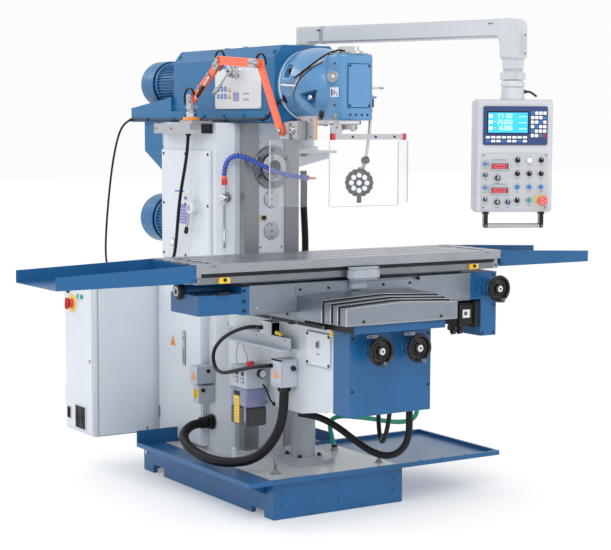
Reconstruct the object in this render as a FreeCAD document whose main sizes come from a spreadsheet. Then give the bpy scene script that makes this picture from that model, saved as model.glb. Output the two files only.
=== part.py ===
import FreeCAD, Part
import math
import os
import re

import Sketcher

# Knee-type universal milling machine: base, column, knee, saddle, table, ram with a universal head,
# arm-mounted chip guard, work lamp and control pendant.
# Frame: +X along the table to the operator's right, +Y from the operator to the column, +Z up.
# Origin: floor level, on the centre plane, below the column's guideway face. Millimetres.

Vector = FreeCAD.Vector
GAP = 0.6          # running clearance between pieces that slide or turn on each other

SIZES = {
    # base casting and drip tray
    "base_half": 348, "base_front": -588, "base_back": 660, "base_top": 165, "base_wall": 24,
    "tray_left": -490, "tray_right": 893, "tray_front": -620, "tray_left_back": 455,
    "tray_right_back": 18, "tray_sheet": 5, "tray_lip": 22, "lip_width": 14,
    # column
    "column_half": 230, "column_back": 660, "column_top": 1735, "guide_inner": 72,
    "guide_outer": 150, "guide_depth": 42, "gib_slot": 20, "panel_recess": 8,
    "spindle_height": 1526, "spindle_nose": 64, "front_flange": 100, "cap_radius": 39.5,
    "upper_cap_height": 1376, "lower_cap_height": 1226, "motor_height": 1236,
    # cabinet behind the column
    "cabinet_left": -611, "cabinet_right": 225, "cabinet_front": 680, "cabinet_back": 1010,
    "cabinet_bottom": 185, "cabinet_top": 970, "cabinet_sheet": 4, "door_thickness": 20,
    # knee
    "knee_half": 212, "knee_front": -849, "knee_top": 866, "knee_bottom": 502,
    "knee_belly": 465, "ways_half": 235, "ways_front": -1040, "ways_top": 927,
    "cover_front": -971, "pedestal_y": -282, "pedestal_radius": 56, "pedestal_top": 600,
    "screw_radius": 22, "wheel_radius": 62.5, "wheel_height": 785, "wheel_offset": 98,
    "wheel_face": -1050,
    # saddle
    "saddle_left": -540, "saddle_right": 637, "saddle_front": -705, "saddle_back": -335,
    "saddle_bottom": 928, "saddle_top": 1054, "table_way_half": 120,
    # table
    "table_length": 1600, "table_front": -720, "table_width": 400, "table_top": 1154,
    "table_slab": 39, "table_groove": 17, "table_bottom": 1070, "slot_width": 18,
    "slot_depth": 30, "slot_head": 30, "slot_pitch": 80, "tray_reach_left": 622,
    "tray_reach_right": 540, "tray_wall": 78, "tray_wall_end": 52, "tray_plate": 3,
    # ram and universal head
    "ram_half": 170, "ram_front": -300, "ram_back": 661, "ram_bottom": 1737, "ram_top": 2083,
    "rail_half": 186, "rail_back": 1100, "rail_top": 1790, "ram_motor_height": 1933,
    "head_axis_height": 1903, "joint_y": -473, "joint_radius": 165, "flange_radius": 160,
    "head_y": -628, "head_radius": 92, "head_bottom": 1745, "head_top": 2033,
    "nose_bottom": 1706, "quill_radius": 46,
    # chip guard on its jointed arm
    "arm_x": -320, "guard_half": 180, "guard_y": -766, "guard_top": 1660, "guard_bottom": 1376,
    "guard_wing": 187, "link_width": 40, "link_thickness": 12, "guard_sheet": 4,
    # control pendant on its swinging arm
    "post_x": 353, "post_y": 256, "arm_height": 2161, "arm_tube": 84, "neck_x": 756,
    "neck_y": -840, "pendant_width": 350, "pendant_depth": 120, "pendant_top": 1843,
    "pendant_bottom": 1338, "pendant_turn": -27,
}

document = FreeCAD.newDocument("milling_machine")
sheet = document.addObject("Spreadsheet::Sheet", "sizes")
for row, (alias, number) in enumerate(SIZES.items(), start=1):
    sheet.set(f"A{row}", alias)
    sheet.set(f"B{row}", str(number))
    sheet.setAlias(f"B{row}", alias)
document.recompute()

WORD = re.compile(r"[a-z][a-z_]+")
published = []


def cell(alias):
    """The number in one named cell of the sheet."""
    return float(sheet.get(alias))


def formula(text):
    """Point every word of a formula that names a cell at the sheet."""
    return WORD.sub(lambda word: "sizes." + word.group() if word.group() in SIZES else word.group(),
                    str(text))


def value(text):
    """The number a formula of cells gives now, worked out in a spare cell of the sheet."""
    sheet.set("D1", f"={text}")
    sheet.recompute()
    return float(sheet.get("D1"))


def bind(thing, prop, text):
    thing.setExpression(prop, formula(text))


def place(thing, x, y, z):
    bind(thing, "Placement.Base.x", x)
    bind(thing, "Placement.Base.y", y)
    bind(thing, "Placement.Base.z", z)


def block(x, y, z):
    """A box between three pairs of formulas."""
    box = document.addObject("Part::Box", "block")
    bind(box, "Length", f"({x[1]}) - ({x[0]})")
    bind(box, "Width", f"({y[1]}) - ({y[0]})")
    bind(box, "Height", f"({z[1]}) - ({z[0]})")
    place(box, x[0], y[0], z[0])
    return box


TURNS = {"X": FreeCAD.Rotation(Vector(0, 1, 0), 90), "Y": FreeCAD.Rotation(Vector(1, 0, 0), -90),
         "Z": FreeCAD.Rotation()}


def rod(axis, radius, start, length):
    """A cylinder that starts at a point and runs along +X, +Y or +Z."""
    cylinder = document.addObject("Part::Cylinder", "rod")
    cylinder.Placement = FreeCAD.Placement(Vector(), TURNS[axis])
    bind(cylinder, "Radius", radius)
    bind(cylinder, "Height", length)
    place(cylinder, *start)
    return cylinder


def taper(axis, start_radius, end_radius, start, length):
    """A cone that starts at a point and runs along +X, +Y or +Z."""
    cone = document.addObject("Part::Cone", "taper")
    cone.Placement = FreeCAD.Placement(Vector(), TURNS[axis])
    bind(cone, "Radius1", start_radius)
    bind(cone, "Radius2", end_radius)
    bind(cone, "Height", length)
    place(cone, *start)
    return cone


def ring(axis, radius, section, centre):
    """A torus whose axis is X, Y or Z."""
    torus = document.addObject("Part::Torus", "ring")
    torus.Placement = FreeCAD.Placement(Vector(), TURNS[axis])
    bind(torus, "Radius1", radius)
    bind(torus, "Radius2", section)
    place(torus, *centre)
    return torus


def ball(radius, centre):
    sphere = document.addObject("Part::Sphere", "ball")
    bind(sphere, "Radius", radius)
    place(sphere, *centre)
    return sphere


def fused(*pieces):
    joined = document.addObject("Part::MultiFuse", "fused")
    joined.Shapes = list(pieces)
    return joined


def cut(base, *tools):
    """The base with each tool taken away in turn."""
    for tool in tools:
        smaller = document.addObject("Part::Cut", "cut")
        smaller.Base = base
        smaller.Tool = tool
        base = smaller
    return base


def bunch(*pieces):
    """Separate solids kept together in one sub-part."""
    compound = document.addObject("Part::Compound", "bunch")
    compound.Links = list(pieces)
    return compound


def solid(shape):
    """A shape made with Part's own functions."""
    feature = document.addObject("Part::Feature", "solid")
    feature.Shape = shape
    return feature


def publish(label, piece):
    """Name a finished sub-part; its label names its file."""
    piece.Label = label
    published.append(piece)
    return piece


def profile(plane, corners, length, start):
    """A PartDesign body: a polygon of formulas on one origin plane, padded along the plane's normal.

    XY pads run up from start, YZ pads run to +X from start, XZ pads run to -Y from start."""
    body = document.addObject("PartDesign::Body", "profile")
    face = next(feature for feature in body.Origin.OriginFeatures if feature.Role == plane + "_Plane")
    sketch = body.newObject("Sketcher::SketchObject", "outline")
    sketch.AttachmentSupport = (face, [""])
    sketch.MapMode = "FlatFace"
    points = [Vector(value(across), value(up), 0) for across, up in corners]
    count = len(points)
    for index, point in enumerate(points):
        sketch.addGeometry(Part.LineSegment(point, points[(index + 1) % count]), False)
    for index in range(count):
        sketch.addConstraint(Sketcher.Constraint("Coincident", index, 2, (index + 1) % count, 1))
    for index, (across, up) in enumerate(corners):
        for kind, text, now in (("DistanceX", across, points[index].x), ("DistanceY", up, points[index].y)):
            number = sketch.addConstraint(Sketcher.Constraint(kind, -1, 1, index, 1, now))
            sketch.setExpression(f"Constraints[{number}]", formula(text))
    pad = body.newObject("PartDesign::Pad", "pad")
    pad.Profile = sketch
    bind(pad, "Length", length)
    along = {"XY": "z", "YZ": "x", "XZ": "y"}[plane]
    bind(body, f"Placement.Base.{along}", start)
    return body


def mirrored_pair(make, offset):
    """The same piece made at +offset and -offset."""
    return [make(f"({offset})"), make(f"-({offset})")]


# ---------------------------------------------------------------- base, tray, bolts

def base_casting():
    hull = block(("-base_half", "base_half"), ("base_front", "base_back"), (0, "base_top"))
    hollow = block(("base_wall - base_half", "base_half - base_wall"),
                   ("base_front + base_wall", "base_back - base_wall"), (-1, "base_top - base_wall"))
    fork_slots = [block(("-base_half - 1", "base_half + 1"), span, (-1, height))
                  for span, height in (((446, 552), 41), ((-505, -402), 28))]
    ribs = [block(("-base_half + 5", "base_half - 5"), span, (0, "base_top - 5"))
            for span in ((-30, 30), (350, 390))]
    return fused(cut(hull, hollow, *fork_slots), *ribs)


def drip_tray():
    """Sheet pan round the machine: a left and front part, a deep right part, and a folded lip."""
    low = "base_top + 0.5"
    floor_top = "base_top + 0.5 + tray_sheet"
    lip_top = "base_top + tray_lip"
    left_floor = block(("tray_left", "base_half"), ("tray_front", "tray_left_back"), (low, floor_top))
    right_floor = block(("base_half - 1", "tray_right"), ("tray_front", "tray_right_back"), (low, floor_top))
    footprint = block(("-column_half - 1", "column_half + 1"), (-2, 500), ("base_top - 1", "base_top + 90"))
    edges = [
        block(("tray_left", "tray_right"), ("tray_front", "tray_front + lip_width"), (low, lip_top)),
        block(("tray_left", "tray_left + lip_width"), ("tray_front", "tray_left_back"), (low, lip_top)),
        block(("tray_right - lip_width", "tray_right"), ("tray_front", "tray_right_back"), (low, lip_top)),
        block(("column_half + 1", "tray_right"), ("tray_right_back - lip_width", "tray_right_back"),
              (low, lip_top)),
        block(("tray_left", "-column_half - 38"), ("tray_left_back - 6", "tray_left_back"),
              (low, "base_top + 78")),
        block(("base_half - 6", "base_half"), ("tray_right_back - 1", "tray_left_back"),
              (low, "base_top + 60")),
    ]
    flare = profile("XZ", [("tray_left + 10", "base_top + 1"), ("-base_half - 0.5", "base_top + 1"),
                           ("-base_half - 0.5", "base_top - 60")], 700, 180)
    return fused(cut(fused(left_floor, right_floor), footprint), flare, *edges)


def anchor_bolts():
    """Jacking bolts with their nuts in the corners of the base."""
    bolts = []
    for x, y, foot in ((-380, 564, 100), (-252, -449, 171), (290, -481, 171), (290, 600, 165.2)):
        stud = rod("Z", 8, (x, y, foot), 236 - foot)
        nut = rod("Z", 15, (x, y, max(foot, 165.2)), 14)
        bolts.append(fused(stud, nut))
    return bunch(*bolts)


# ---------------------------------------------------------------- column and what is fixed to it

def column_casting():
    """Hollow column with two guideways in front, slots behind them for the gibs, and the rail of the ram."""
    slot_back = "guide_depth + gib_slot"
    right = [("guide_inner", "panel_recess"), ("guide_inner", 0.01), ("guide_outer", 0.01),
             ("guide_outer", "guide_depth"), ("guide_outer - 22", "guide_depth"),
             ("guide_outer - 22", slot_back), ("guide_outer + 18", slot_back),
             ("column_half", 130), ("column_half", "column_back")]
    left = [(f"-({across})", along) for across, along in reversed(right)]
    shaft = profile("XY", right + left, "column_top - base_top - 0.3", "base_top + 0.3")
    hollow = block((-165, 165), (92, "column_back - 30"), ("base_top + 40", "column_top - 30"))
    nose_bore = rod("Y", "spindle_nose + 1.5", (0, -5, "spindle_height"), 110)
    flange_seat = rod("Y", "front_flange + 1", (0, -5, "spindle_height"), "5 + panel_recess")
    rail = block((-90, 90), (40, 640), ("column_top - 1", "column_top + 17"))
    plinth = block(("-column_half", "column_half"), (20, 700), ("base_top + 0.3", "base_top + 18"))
    clear = block(("-guide_outer", "guide_outer"), (0, "panel_recess + 40"), ("base_top", "base_top + 20"))
    return fused(cut(shaft, hollow, nose_bore, flange_seat), rail,
                 cut(plinth, clear, block((-160, 160), (95, 630), (100, 300))))


def gearbox_cover():
    plate = block(("-column_half - 10", "-column_half - 0.4"), (166, 658), (1070, 1603))
    boss = rod("X", 26, ("-column_half - 30", 304, 1329), 22)
    return fused(plate, boss)


def speed_lever():
    """Gear selector: a hub on the cover's boss with a bent handle that points down."""
    hub = rod("X", 30, ("-column_half - 52", 304, 1329), 21)
    grip_end = Vector(cell("column_half") * -1 - 44, 344, 1211)
    hub_centre = Vector(cell("column_half") * -1 - 44, 304, 1329)
    stem = solid(straight_bar(hub_centre, grip_end, 6))
    grip = ball(11, (grip_end.x, grip_end.y, grip_end.z))
    return fused(hub, stem, grip)


def column_side_door():
    panel = block(("-column_half - 32", "-column_half - 0.4"), (205, 655), (186, 1010))
    strip = block(("-column_half - 36", "-column_half - 31"), (372, 396), (560, 720))
    return fused(panel, strip)


def front_flanges():
    """Bolted spindle flange and the two round caps below it."""
    flange = cut(rod("Y", "front_flange", (0, -8, "spindle_height"), "panel_recess + 7.5"),
                 rod("Y", "spindle_nose + 1", (0, -20, "spindle_height"), 60))
    bolts = []
    for step in range(6):
        turn = math.radians(60 * step + 30)
        bolts.append(rod("Y", 8, (82 * math.cos(turn), -14, f"spindle_height + {82 * math.sin(turn):.3f}"),
                         7))
    caps = [rod("Y", "cap_radius", (0, 1, height), "panel_recess - 1.5")
            for height in ("upper_cap_height", "lower_cap_height")]
    return bunch(fused(flange, *bolts), *caps)


def horizontal_spindle():
    """Spindle nose with its taper, two drive keys, and the shaft behind it."""
    nose = rod("Y", "spindle_nose", (0, -24, "spindle_height"), 110)
    shaft = rod("Y", 48, (0, 80, "spindle_height"), 420)
    bore = taper("Y", 34.9, 22, (0, -25, "spindle_height"), 110)
    keys = [block((-12.7, 12.7), (-36, -22), (f"spindle_height + {low}", f"spindle_height + {low + 22}"))
            for low in (38, -60)]
    return fused(cut(fused(nose, shaft), bore), *keys)


def electric_motor(height, body_radius, cowl_radius, front):
    """Foot-less motor on a flange: finned body, fan cowl and terminal box."""
    flange = rod("Y", body_radius + 8, (0, front, height), 18)
    body = rod("Y", body_radius, (0, front, height), 340)
    cowl = rod("Y", cowl_radius, (0, f"({front}) + 330", height), 155)
    box = block((20, 130), (f"({front}) + 60", f"({front}) + 190"),
                (f"{height} + 60", f"{height} + {body_radius + 24}"))
    return fused(flange, body, cowl, box)


HINGE = (-604, 1018)     # line of the cabinet door's hinge, seen from above


def electrical_cabinet():
    """Sheet cabinet behind the column, open on its left side where the door closes it."""
    shell = block(("cabinet_left + door_thickness + 1", "cabinet_right"), ("cabinet_front", "cabinet_back"),
                  ("cabinet_bottom", "cabinet_top"))
    room = block(("cabinet_left", "cabinet_right - cabinet_sheet"),
                 ("cabinet_front + cabinet_sheet", "cabinet_back - cabinet_sheet"),
                 ("cabinet_bottom + cabinet_sheet", "cabinet_top - cabinet_sheet"))
    panel = block((-100, 200), ("cabinet_back - 60", "cabinet_back - 40"), (260, 900))
    fixing = block((-100, 200), ("cabinet_back - 41", "cabinet_back - 2"), (560, 600))
    straps = [block((-150, 150), ("column_back + 0.4", "cabinet_front + 1"), (z, z + 60)) for z in (300, 820)]
    hinges = []
    for foot in (300, 800):
        pin = rod("Z", 4, (*HINGE, foot + 4), 96)
        barrel = rod("Z", 7, (*HINGE, foot + 52), 50)
        leaf = block((HINGE[0], -570), ("cabinet_back - 0.5", "cabinet_back + 4"), (foot + 52, foot + 102))
        hinges.append(fused(pin, barrel, leaf))
    return fused(cut(shell, room), panel, fixing, *straps, *hinges)


def cabinet_door():
    """Left face of the cabinet: door sheet, fan grille and a small vent."""
    panel = block(("cabinet_left", "cabinet_left + door_thickness"), ("cabinet_front", "cabinet_back - 1"),
                  ("cabinet_bottom", "cabinet_top"))
    fan = block(("cabinet_left - 8", "cabinet_left + 1"), (762, 882), (205, 325))
    vent = block(("cabinet_left - 6", "cabinet_left + 1"), (940, 985), (240, 300))
    lamp = rod("X", 11, ("cabinet_left - 12", 812, 872), 13)
    leaves = [fused(block(("cabinet_left", HINGE[0] + 2), (1003, HINGE[1]), (foot, foot + 50)),
                    rod("Z", 7, (*HINGE, foot), 50)) for foot in (300, 800)]
    bores = [rod("Z", 4.06, (*HINGE, foot - 2), 54) for foot in (300, 800)]
    return cut(fused(panel, fan, vent, lamp, *leaves), *bores)


def main_switch():
    plate = rod("X", 34, ("cabinet_left - 9", 920, 830), 8.4)
    knob = rod("X", 24, ("cabinet_left - 30", 920, 830), 22)
    bar = block(("cabinet_left - 44", "cabinet_left - 28"), (912, 928), (804, 856))
    return fused(plate, knob, bar)


def junction_boxes():
    """Two small connection boxes on the column's left flank and the elbow of the big conduit."""
    upper = block((-330, -232), (135, 205), (500, 586))
    lower = block((-318, -232), (140, 196), (405, 492))
    elbow = rod("X", 30, (-262, 160, 311), 30)
    collar = rod("X", 36, (-246, 160, 311), 14)
    return bunch(upper, lower, fused(elbow, collar))


def pedestal():
    """Fixed tube that carries the nut of the elevating screw, on its flange and plinth."""
    foot = "base_top + tray_sheet + 1"
    plinth = block((-105, 105), ("pedestal_y - 105", "pedestal_y + 105"), (foot, "base_top + 26"))
    flange = rod("Z", 92, (0, "pedestal_y", "base_top + 25"), 14)
    tube = rod("Z", "pedestal_radius", (0, "pedestal_y", "base_top + 30"), "pedestal_top - base_top - 30")
    bore = rod("Z", "pedestal_radius - 10", (0, "pedestal_y", "base_top + 45"), 800)
    nut = cut(rod("Z", "pedestal_radius - 9", (0, "pedestal_y", "pedestal_top - 70"), 60),
              rod("Z", f"screw_radius + {GAP}", (0, "pedestal_y", "pedestal_top - 75"), 90))
    bolts = [rod("Z", 9, (76 * math.cos(turn), f"pedestal_y + {76 * math.sin(turn):.3f}", "base_top + 38"), 9)
             for turn in (math.radians(45 + 90 * step) for step in range(4))]
    return fused(cut(fused(plinth, flange, tube), bore), nut, *bolts)


def straight_bar(start, end, radius):
    return Part.makeCylinder(radius, (end - start).Length, start, end - start)


def coolant_pipe():
    """Rigid supply pipe on the column with a ball joint, a tap, and a segmented nozzle line in front."""
    foot = Vector(-222, 66, 1160)
    bend = Vector(-222, 66, 1490)
    hold = Vector(-222, 66, 1385)
    flank = Vector(68, 62, 0).normalize()
    mount = straight_bar(hold, hold + flank * 36.6, 12)
    knuckle = Part.makeSphere(19, hold)
    supply = straight_bar(foot, bend, 7)
    tap = straight_bar(Vector(-222, 66, 1448), Vector(-222, 66, 1476), 13)
    route = [bend, Vector(-222, 60, 1545), Vector(-196, 20, 1586), Vector(-150, -28, 1572),
             Vector(-90, -70, 1534), Vector(-20, -112, 1500), Vector(50, -146, 1484), Vector(100, -160, 1480)]
    line = tube_shape(route, 10)
    nozzle = Part.makeCone(9, 3.5, 34, route[-1], route[-1] - route[-2])
    return solid(mount.fuse([knuckle, supply, tap, line, nozzle]))


def pendant_post():
    """Gusseted bracket on the column's right side and the post that the pendant arm turns on."""
    shelf = block(("column_half + 0.4", 500), ("post_y - 56", "post_y + 56"), (1586, 1600))
    web = profile("XZ", [("column_half + 0.4", 1587), (490, 1587), (490, 1560), ("column_half + 0.4", 1500)],
                  12, "post_y + 6")
    foot = rod("Z", 62, ("post_x", "post_y", 1599), 16)
    mast = rod("Z", "arm_tube / 2 - 4", ("post_x", "post_y", 1600), "arm_height - 1600 - arm_tube / 2 - 3")
    return fused(shelf, web, foot, mast)


ARM_PIVOTS = {
    "shoulder": Vector(0, 188, 1840), "elbow": Vector(0, -80, 2015),
    "wrist": Vector(0, -422, 1992), "hand": Vector(0, -595, 1699),
}


def guard_bracket():
    """Aluminium bar on the column's top left edge that carries the guard's pole."""
    bar = block((-292, "-column_half - 0.4"), (160, 640), (1682, 1730))
    plate = block((-352, -240), (138, 262), (1731, 1743))
    foot = block((-352, -292), (160, 240), (1700, 1731.5))
    return fused(bar, plate, foot)


def guard_pole():
    """Pole that turns on the bracket; the ear on its head holds the first link's pin."""
    disc = rod("Z", 40, ("arm_x", 200, 1743.6), 16)
    pole = rod("Z", 17, ("arm_x", 200, 1750), 56)
    head = block(("arm_x - 21", "arm_x + 17"), (170, 217), (1798, 1812))
    ear = block(("arm_x - 21", "arm_x - 8"), (170, 214), (1811, 1866))
    pin = rod("X", 8, ("arm_x - 20", ARM_PIVOTS["shoulder"].y, ARM_PIVOTS["shoulder"].z), 34)
    return fused(disc, pole, head, ear, pin)


def guard_link(start, end, side, pin_at_end):
    """A flat bar with round ends between two pivots, a hole at its start, and a pin at its end."""
    low = cell("arm_x") + side - cell("link_thickness") / 2
    begin = Vector(low, start.y, start.z)
    finish = Vector(low, end.y, end.z)
    thickness = cell("link_thickness")
    half = cell("link_width") / 2
    sideways = Vector(1, 0, 0)
    across = (finish - begin).cross(sideways).normalize() * half
    corners = [begin + across, finish + across, finish - across, begin - across, begin + across]
    web = Part.Face(Part.makePolygon(corners)).extrude(sideways * thickness)
    ends = [Part.makeCylinder(half, thickness, point, sideways) for point in (begin, finish)]
    bar = web.fuse(ends)
    bar = bar.cut(Part.makeCylinder(8 + GAP, thickness + 4, begin - sideways * 2, sideways))
    if pin_at_end:
        reach = pin_at_end * (thickness * 2 + 6)
        centre = finish + sideways * thickness / 2
        bar = bar.fuse(Part.makeCylinder(8, abs(reach), centre, sideways * pin_at_end))
    return solid(bar.removeSplitter())


def guard_carrier():
    """Pivoting block, clamp plate, cross rods, rail bracket and top rail of the guard."""
    hand = ARM_PIVOTS["hand"]
    cheek = cut(block(("arm_x + 7.2", "arm_x + 18"), (-650, -570), (1664, 1734)),
                rod("X", 8 + GAP, (-400, hand.y, hand.z), 200))
    body = block(("arm_x + 17", -262), (-708, -612), (1664, 1742))
    plate = block((-262, -241), (-764, -640), (1662, 1763))
    rod_wide = rod("X", 14, (-242, -744, 1737), 60)
    rod_long = rod("X", 10, (-190, -744, 1737), 172)
    knob = rod("Z", 9, (-208, -744, 1745), 44)
    hanger = block((-166, -112), (-757, -749), (1668, 1758))
    rail = block((-168, 225), (-762, -748), (1664, 1688))
    clamp = block((-158, -120), (-758, -730), (1722, 1752))
    return fused(cheek, body, plate, rod_wide, rod_long, knob, hanger, rail, clamp)


def guard_panels():
    """Three clear sheets: one in front of the cutter and a wing bent back at each end."""
    front = block(("-guard_half", "guard_half"), ("guard_y", "guard_y + guard_sheet"),
                  ("guard_bottom", "guard_top"))
    fixing = block((-160, 170), ("guard_y + guard_sheet - 0.5", "guard_y + guard_sheet + 8"), (1640, 1663.7))
    wings = []
    for side in (1, -1):
        inner = Vector(side * cell("guard_half"), cell("guard_y"), cell("guard_bottom"))
        along = Vector(side, 1, 0) * cell("guard_wing")
        depth = Vector(-side, 1, 0).normalize() * cell("guard_sheet")
        corners = [inner, inner + along, inner + along + depth, inner + depth, inner]
        height = Vector(0, 0, cell("guard_top") - cell("guard_bottom"))
        wings.append(solid(Part.Face(Part.makePolygon(corners)).extrude(height)))
    return fused(front, fixing, *wings)


# ---------------------------------------------------------------- knee

def knee_casting():
    """Hollow knee: side cheeks and gibs round the column's guideways, and flat ways on top."""
    side = profile("YZ", [("knee_front", "knee_top + 1"), ("knee_front", "knee_bottom + 6"),
                          (-600, "knee_belly"),
                          (-2, "knee_belly"), (-2, "knee_top + 1")], "2 * knee_half", "-knee_half")
    ways = block(("-ways_half", "ways_half"), ("ways_front", -2), ("knee_top", "ways_top"))
    way_slot = block((-150, 150), ("ways_front - 1", -30), ("ways_top - 18", "ways_top + 1"))
    hollow = block((-186, 186), ("knee_front + 26", -60), ("knee_belly + 45", "knee_top - 22"))
    tube_hole = rod("Z", "pedestal_radius + 5", (0, "pedestal_y", 400), 160)
    cheeks = mirrored_pair(lambda at: block((f"{at} - 25", f"{at} + 25"), (-60, "guide_depth + 16"),
                                            ("knee_belly", "ways_top")), "guide_outer + 27")
    gibs = mirrored_pair(lambda at: block((f"{at} - 12", f"{at} + 12"),
                                          ("guide_depth + 1", "guide_depth + 16"),
                                          ("knee_belly + 10", "ways_top - 10")), "guide_outer - 7")
    shafts = [rod("Y", 16, (offset, "knee_front - 30", "wheel_height"), 60)
              for offset in ("wheel_offset", "-wheel_offset")]
    plate = block(("-knee_half - 5", "-knee_half + 1"), (-836, -648), (694, 838))
    shelf = block((-300, "-knee_half + 1"), (-578, -30), (741, 749))
    shelf_wall = block((-262, -254), (-578, -30), (741, 796))
    carrier = block((-262, "-knee_half + 1"), (-420, -330), (748, 852))
    return fused(cut(fused(side, ways), way_slot, hollow, tube_hole), *cheeks, *gibs, *shafts,
                 plate, shelf, shelf_wall, carrier)


def knee_front_cover():
    """Sheet cover in front of the knee, with a boss for each handwheel shaft."""
    box = block(("-knee_half", "knee_half"), ("cover_front", "knee_front - 0.5"),
                ("knee_bottom", "knee_top - 1"))
    room = block(("-knee_half + 4", "knee_half - 4"), ("cover_front + 4", "knee_front + 5"),
                 ("knee_bottom + 4", "knee_top - 5"))
    bosses = [rod("Y", 34, (offset, "cover_front - 16", "wheel_height"), 22)
              for offset in ("wheel_offset", "-wheel_offset")]
    bores = [rod("Y", 13, (offset, "cover_front - 40", "wheel_height"), 80)
             for offset in ("wheel_offset", "-wheel_offset")]
    return cut(fused(cut(box, room), *bosses), *bores)


def handwheel(x, face, height):
    """Dished handwheel with a graduated collar behind it, a shaft and a crank grip; its face looks to -Y."""
    dish = taper("Y", "wheel_radius - 8", 30, (x, f"{face} + 8", height), 16)
    rim = ring("Y", "wheel_radius - 9", 9, (x, f"{face} + 9", height))
    hub = rod("Y", 19, (x, f"{face} - 2", height), 40)
    collar = rod("Y", 30, (x, f"{face} + 24", height), 38)
    shaft = rod("Y", 12, (x, f"{face} + 30", height), 82)
    grip = rod("Y", 12, (x, f"{face} - 28", f"{height} - 50"), 40)
    return fused(dish, rim, hub, collar, shaft, grip)


def knee_junction_box():
    box = block((-300, "-knee_half - 0.4"), (-572, -485), (579, 702))
    gland = rod("Z", 27, (-257, -528, 556), 24)
    return fused(box, gland)


def lubricator():
    """Central lubrication pump on the knee's side, with its oil tank, cap and gauge."""
    pump = block((-330, -227), (-330, -185), (532, 642))
    tank = block((-332, -226), (-334, -182), (373, 531.6))
    back = block((-228, "-knee_half - 0.4"), (-320, -200), (480, 640))
    cap = rod("Z", 20, (-296, -300, 640), 26)
    gauge = rod("Y", 21, (-262, -356, 612), 27)
    return fused(pump, tank, back, cap, gauge)


def elevating_screw():
    """Screw that lifts the knee: it hangs from the knee and turns in the pedestal's nut."""
    thread = rod("Z", "screw_radius", (0, "pedestal_y", 368), "knee_top - 22 - 368 - 3")
    bevel = taper("Z", 58, 40, (0, "pedestal_y", "knee_top - 80"), 26)
    return fused(thread, bevel)


def way_cover(half, eaves, front, back, closed):
    """One stainless plate of the telescopic cover: a roof with a low peak and two side walls."""
    low = 901
    skin = 2.5
    peak = 14

    def roof(inset):
        return [(-(half - inset), low - (1 if inset else 0)), (half - inset, low - (1 if inset else 0)),
                (half - inset, eaves - inset), (0.01, eaves + peak - inset), (-(half - inset), eaves - inset)]

    outer = profile("XZ", roof(0), f"({back}) - ({front})", back)
    begin = f"({front}) + {skin}" if closed else f"({front}) - 1"
    inner = profile("XZ", roof(skin), f"({back}) + 1 - ({begin})", f"({back}) + 1")
    return cut(outer, inner)


# ---------------------------------------------------------------- saddle and table

def saddle_casting():
    """Beam under the table with the table's way on top and a skirt down each side of the knee's ways."""
    beam = block(("saddle_left", "saddle_right"), ("saddle_front", "saddle_back"),
                 ("saddle_bottom", "saddle_top"))
    hollow = block(("saddle_left + 40", "saddle_right - 40"), ("saddle_front + 30", "saddle_back - 30"),
                   ("saddle_bottom + 26", "saddle_top - 24"))
    way = block(("saddle_left", "saddle_right"), ("-520 - table_way_half", "table_way_half - 520"),
                ("saddle_top - 1", "table_bottom + 6"))
    skirts = mirrored_pair(lambda at: block((f"{at} - 13", f"{at} + 13"), ("saddle_front + 6", "saddle_back"),
                                            ("knee_top + 14", "saddle_bottom + 1")), "ways_half + 14")
    return fused(cut(beam, hollow), way, *skirts)


def saddle_end_housing():
    """Bearing housing at the left end of the table screw."""
    box = block((-784, -556), ("saddle_front", -464), (938, 1022))
    flange = block((-575, "saddle_left - 0.4"), ("saddle_front", -464), (932, 1050))
    bearing = rod("X", 27, (-800, -545, 1030), 240)
    return fused(box, flange, bearing)


def feed_gearbox():
    """Gearbox at the right end of the saddle that drives the table screw."""
    head = block(("saddle_right + 0.4", 790), ("saddle_front + 2", -520), (930, 1054))
    tail = block((700, 790), ("saddle_front + 2", -540), (758, 931))
    boss = rod("Y", 42, (727, "saddle_front - 36", 984), 45)
    bore = rod("Y", 12.6, (727, "saddle_front - 60", 984), 110)
    return cut(fused(head, tail, boss), bore)


def feed_motor():
    """Servo motor on the gearbox, with its connector housing."""
    body = block((560, 699.6), (-690, -580), (806, 916))
    flange = block((668, 699.6), (-696, -574), (800, 922))
    plug = block((574, 640), (-660, -610), (770, 807))
    return fused(body, flange, plug)


def limit_switch():
    """Switch box on the saddle's front with the arm that reaches up to the table's dogs."""
    arm = block((-30, 40), ("table_front - 8", "saddle_front - 0.4"), (1017, 1066))
    box = block((-66, 92), ("table_front - 44", "table_front - 7"), (1056, 1112))
    return fused(arm, box)


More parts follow.
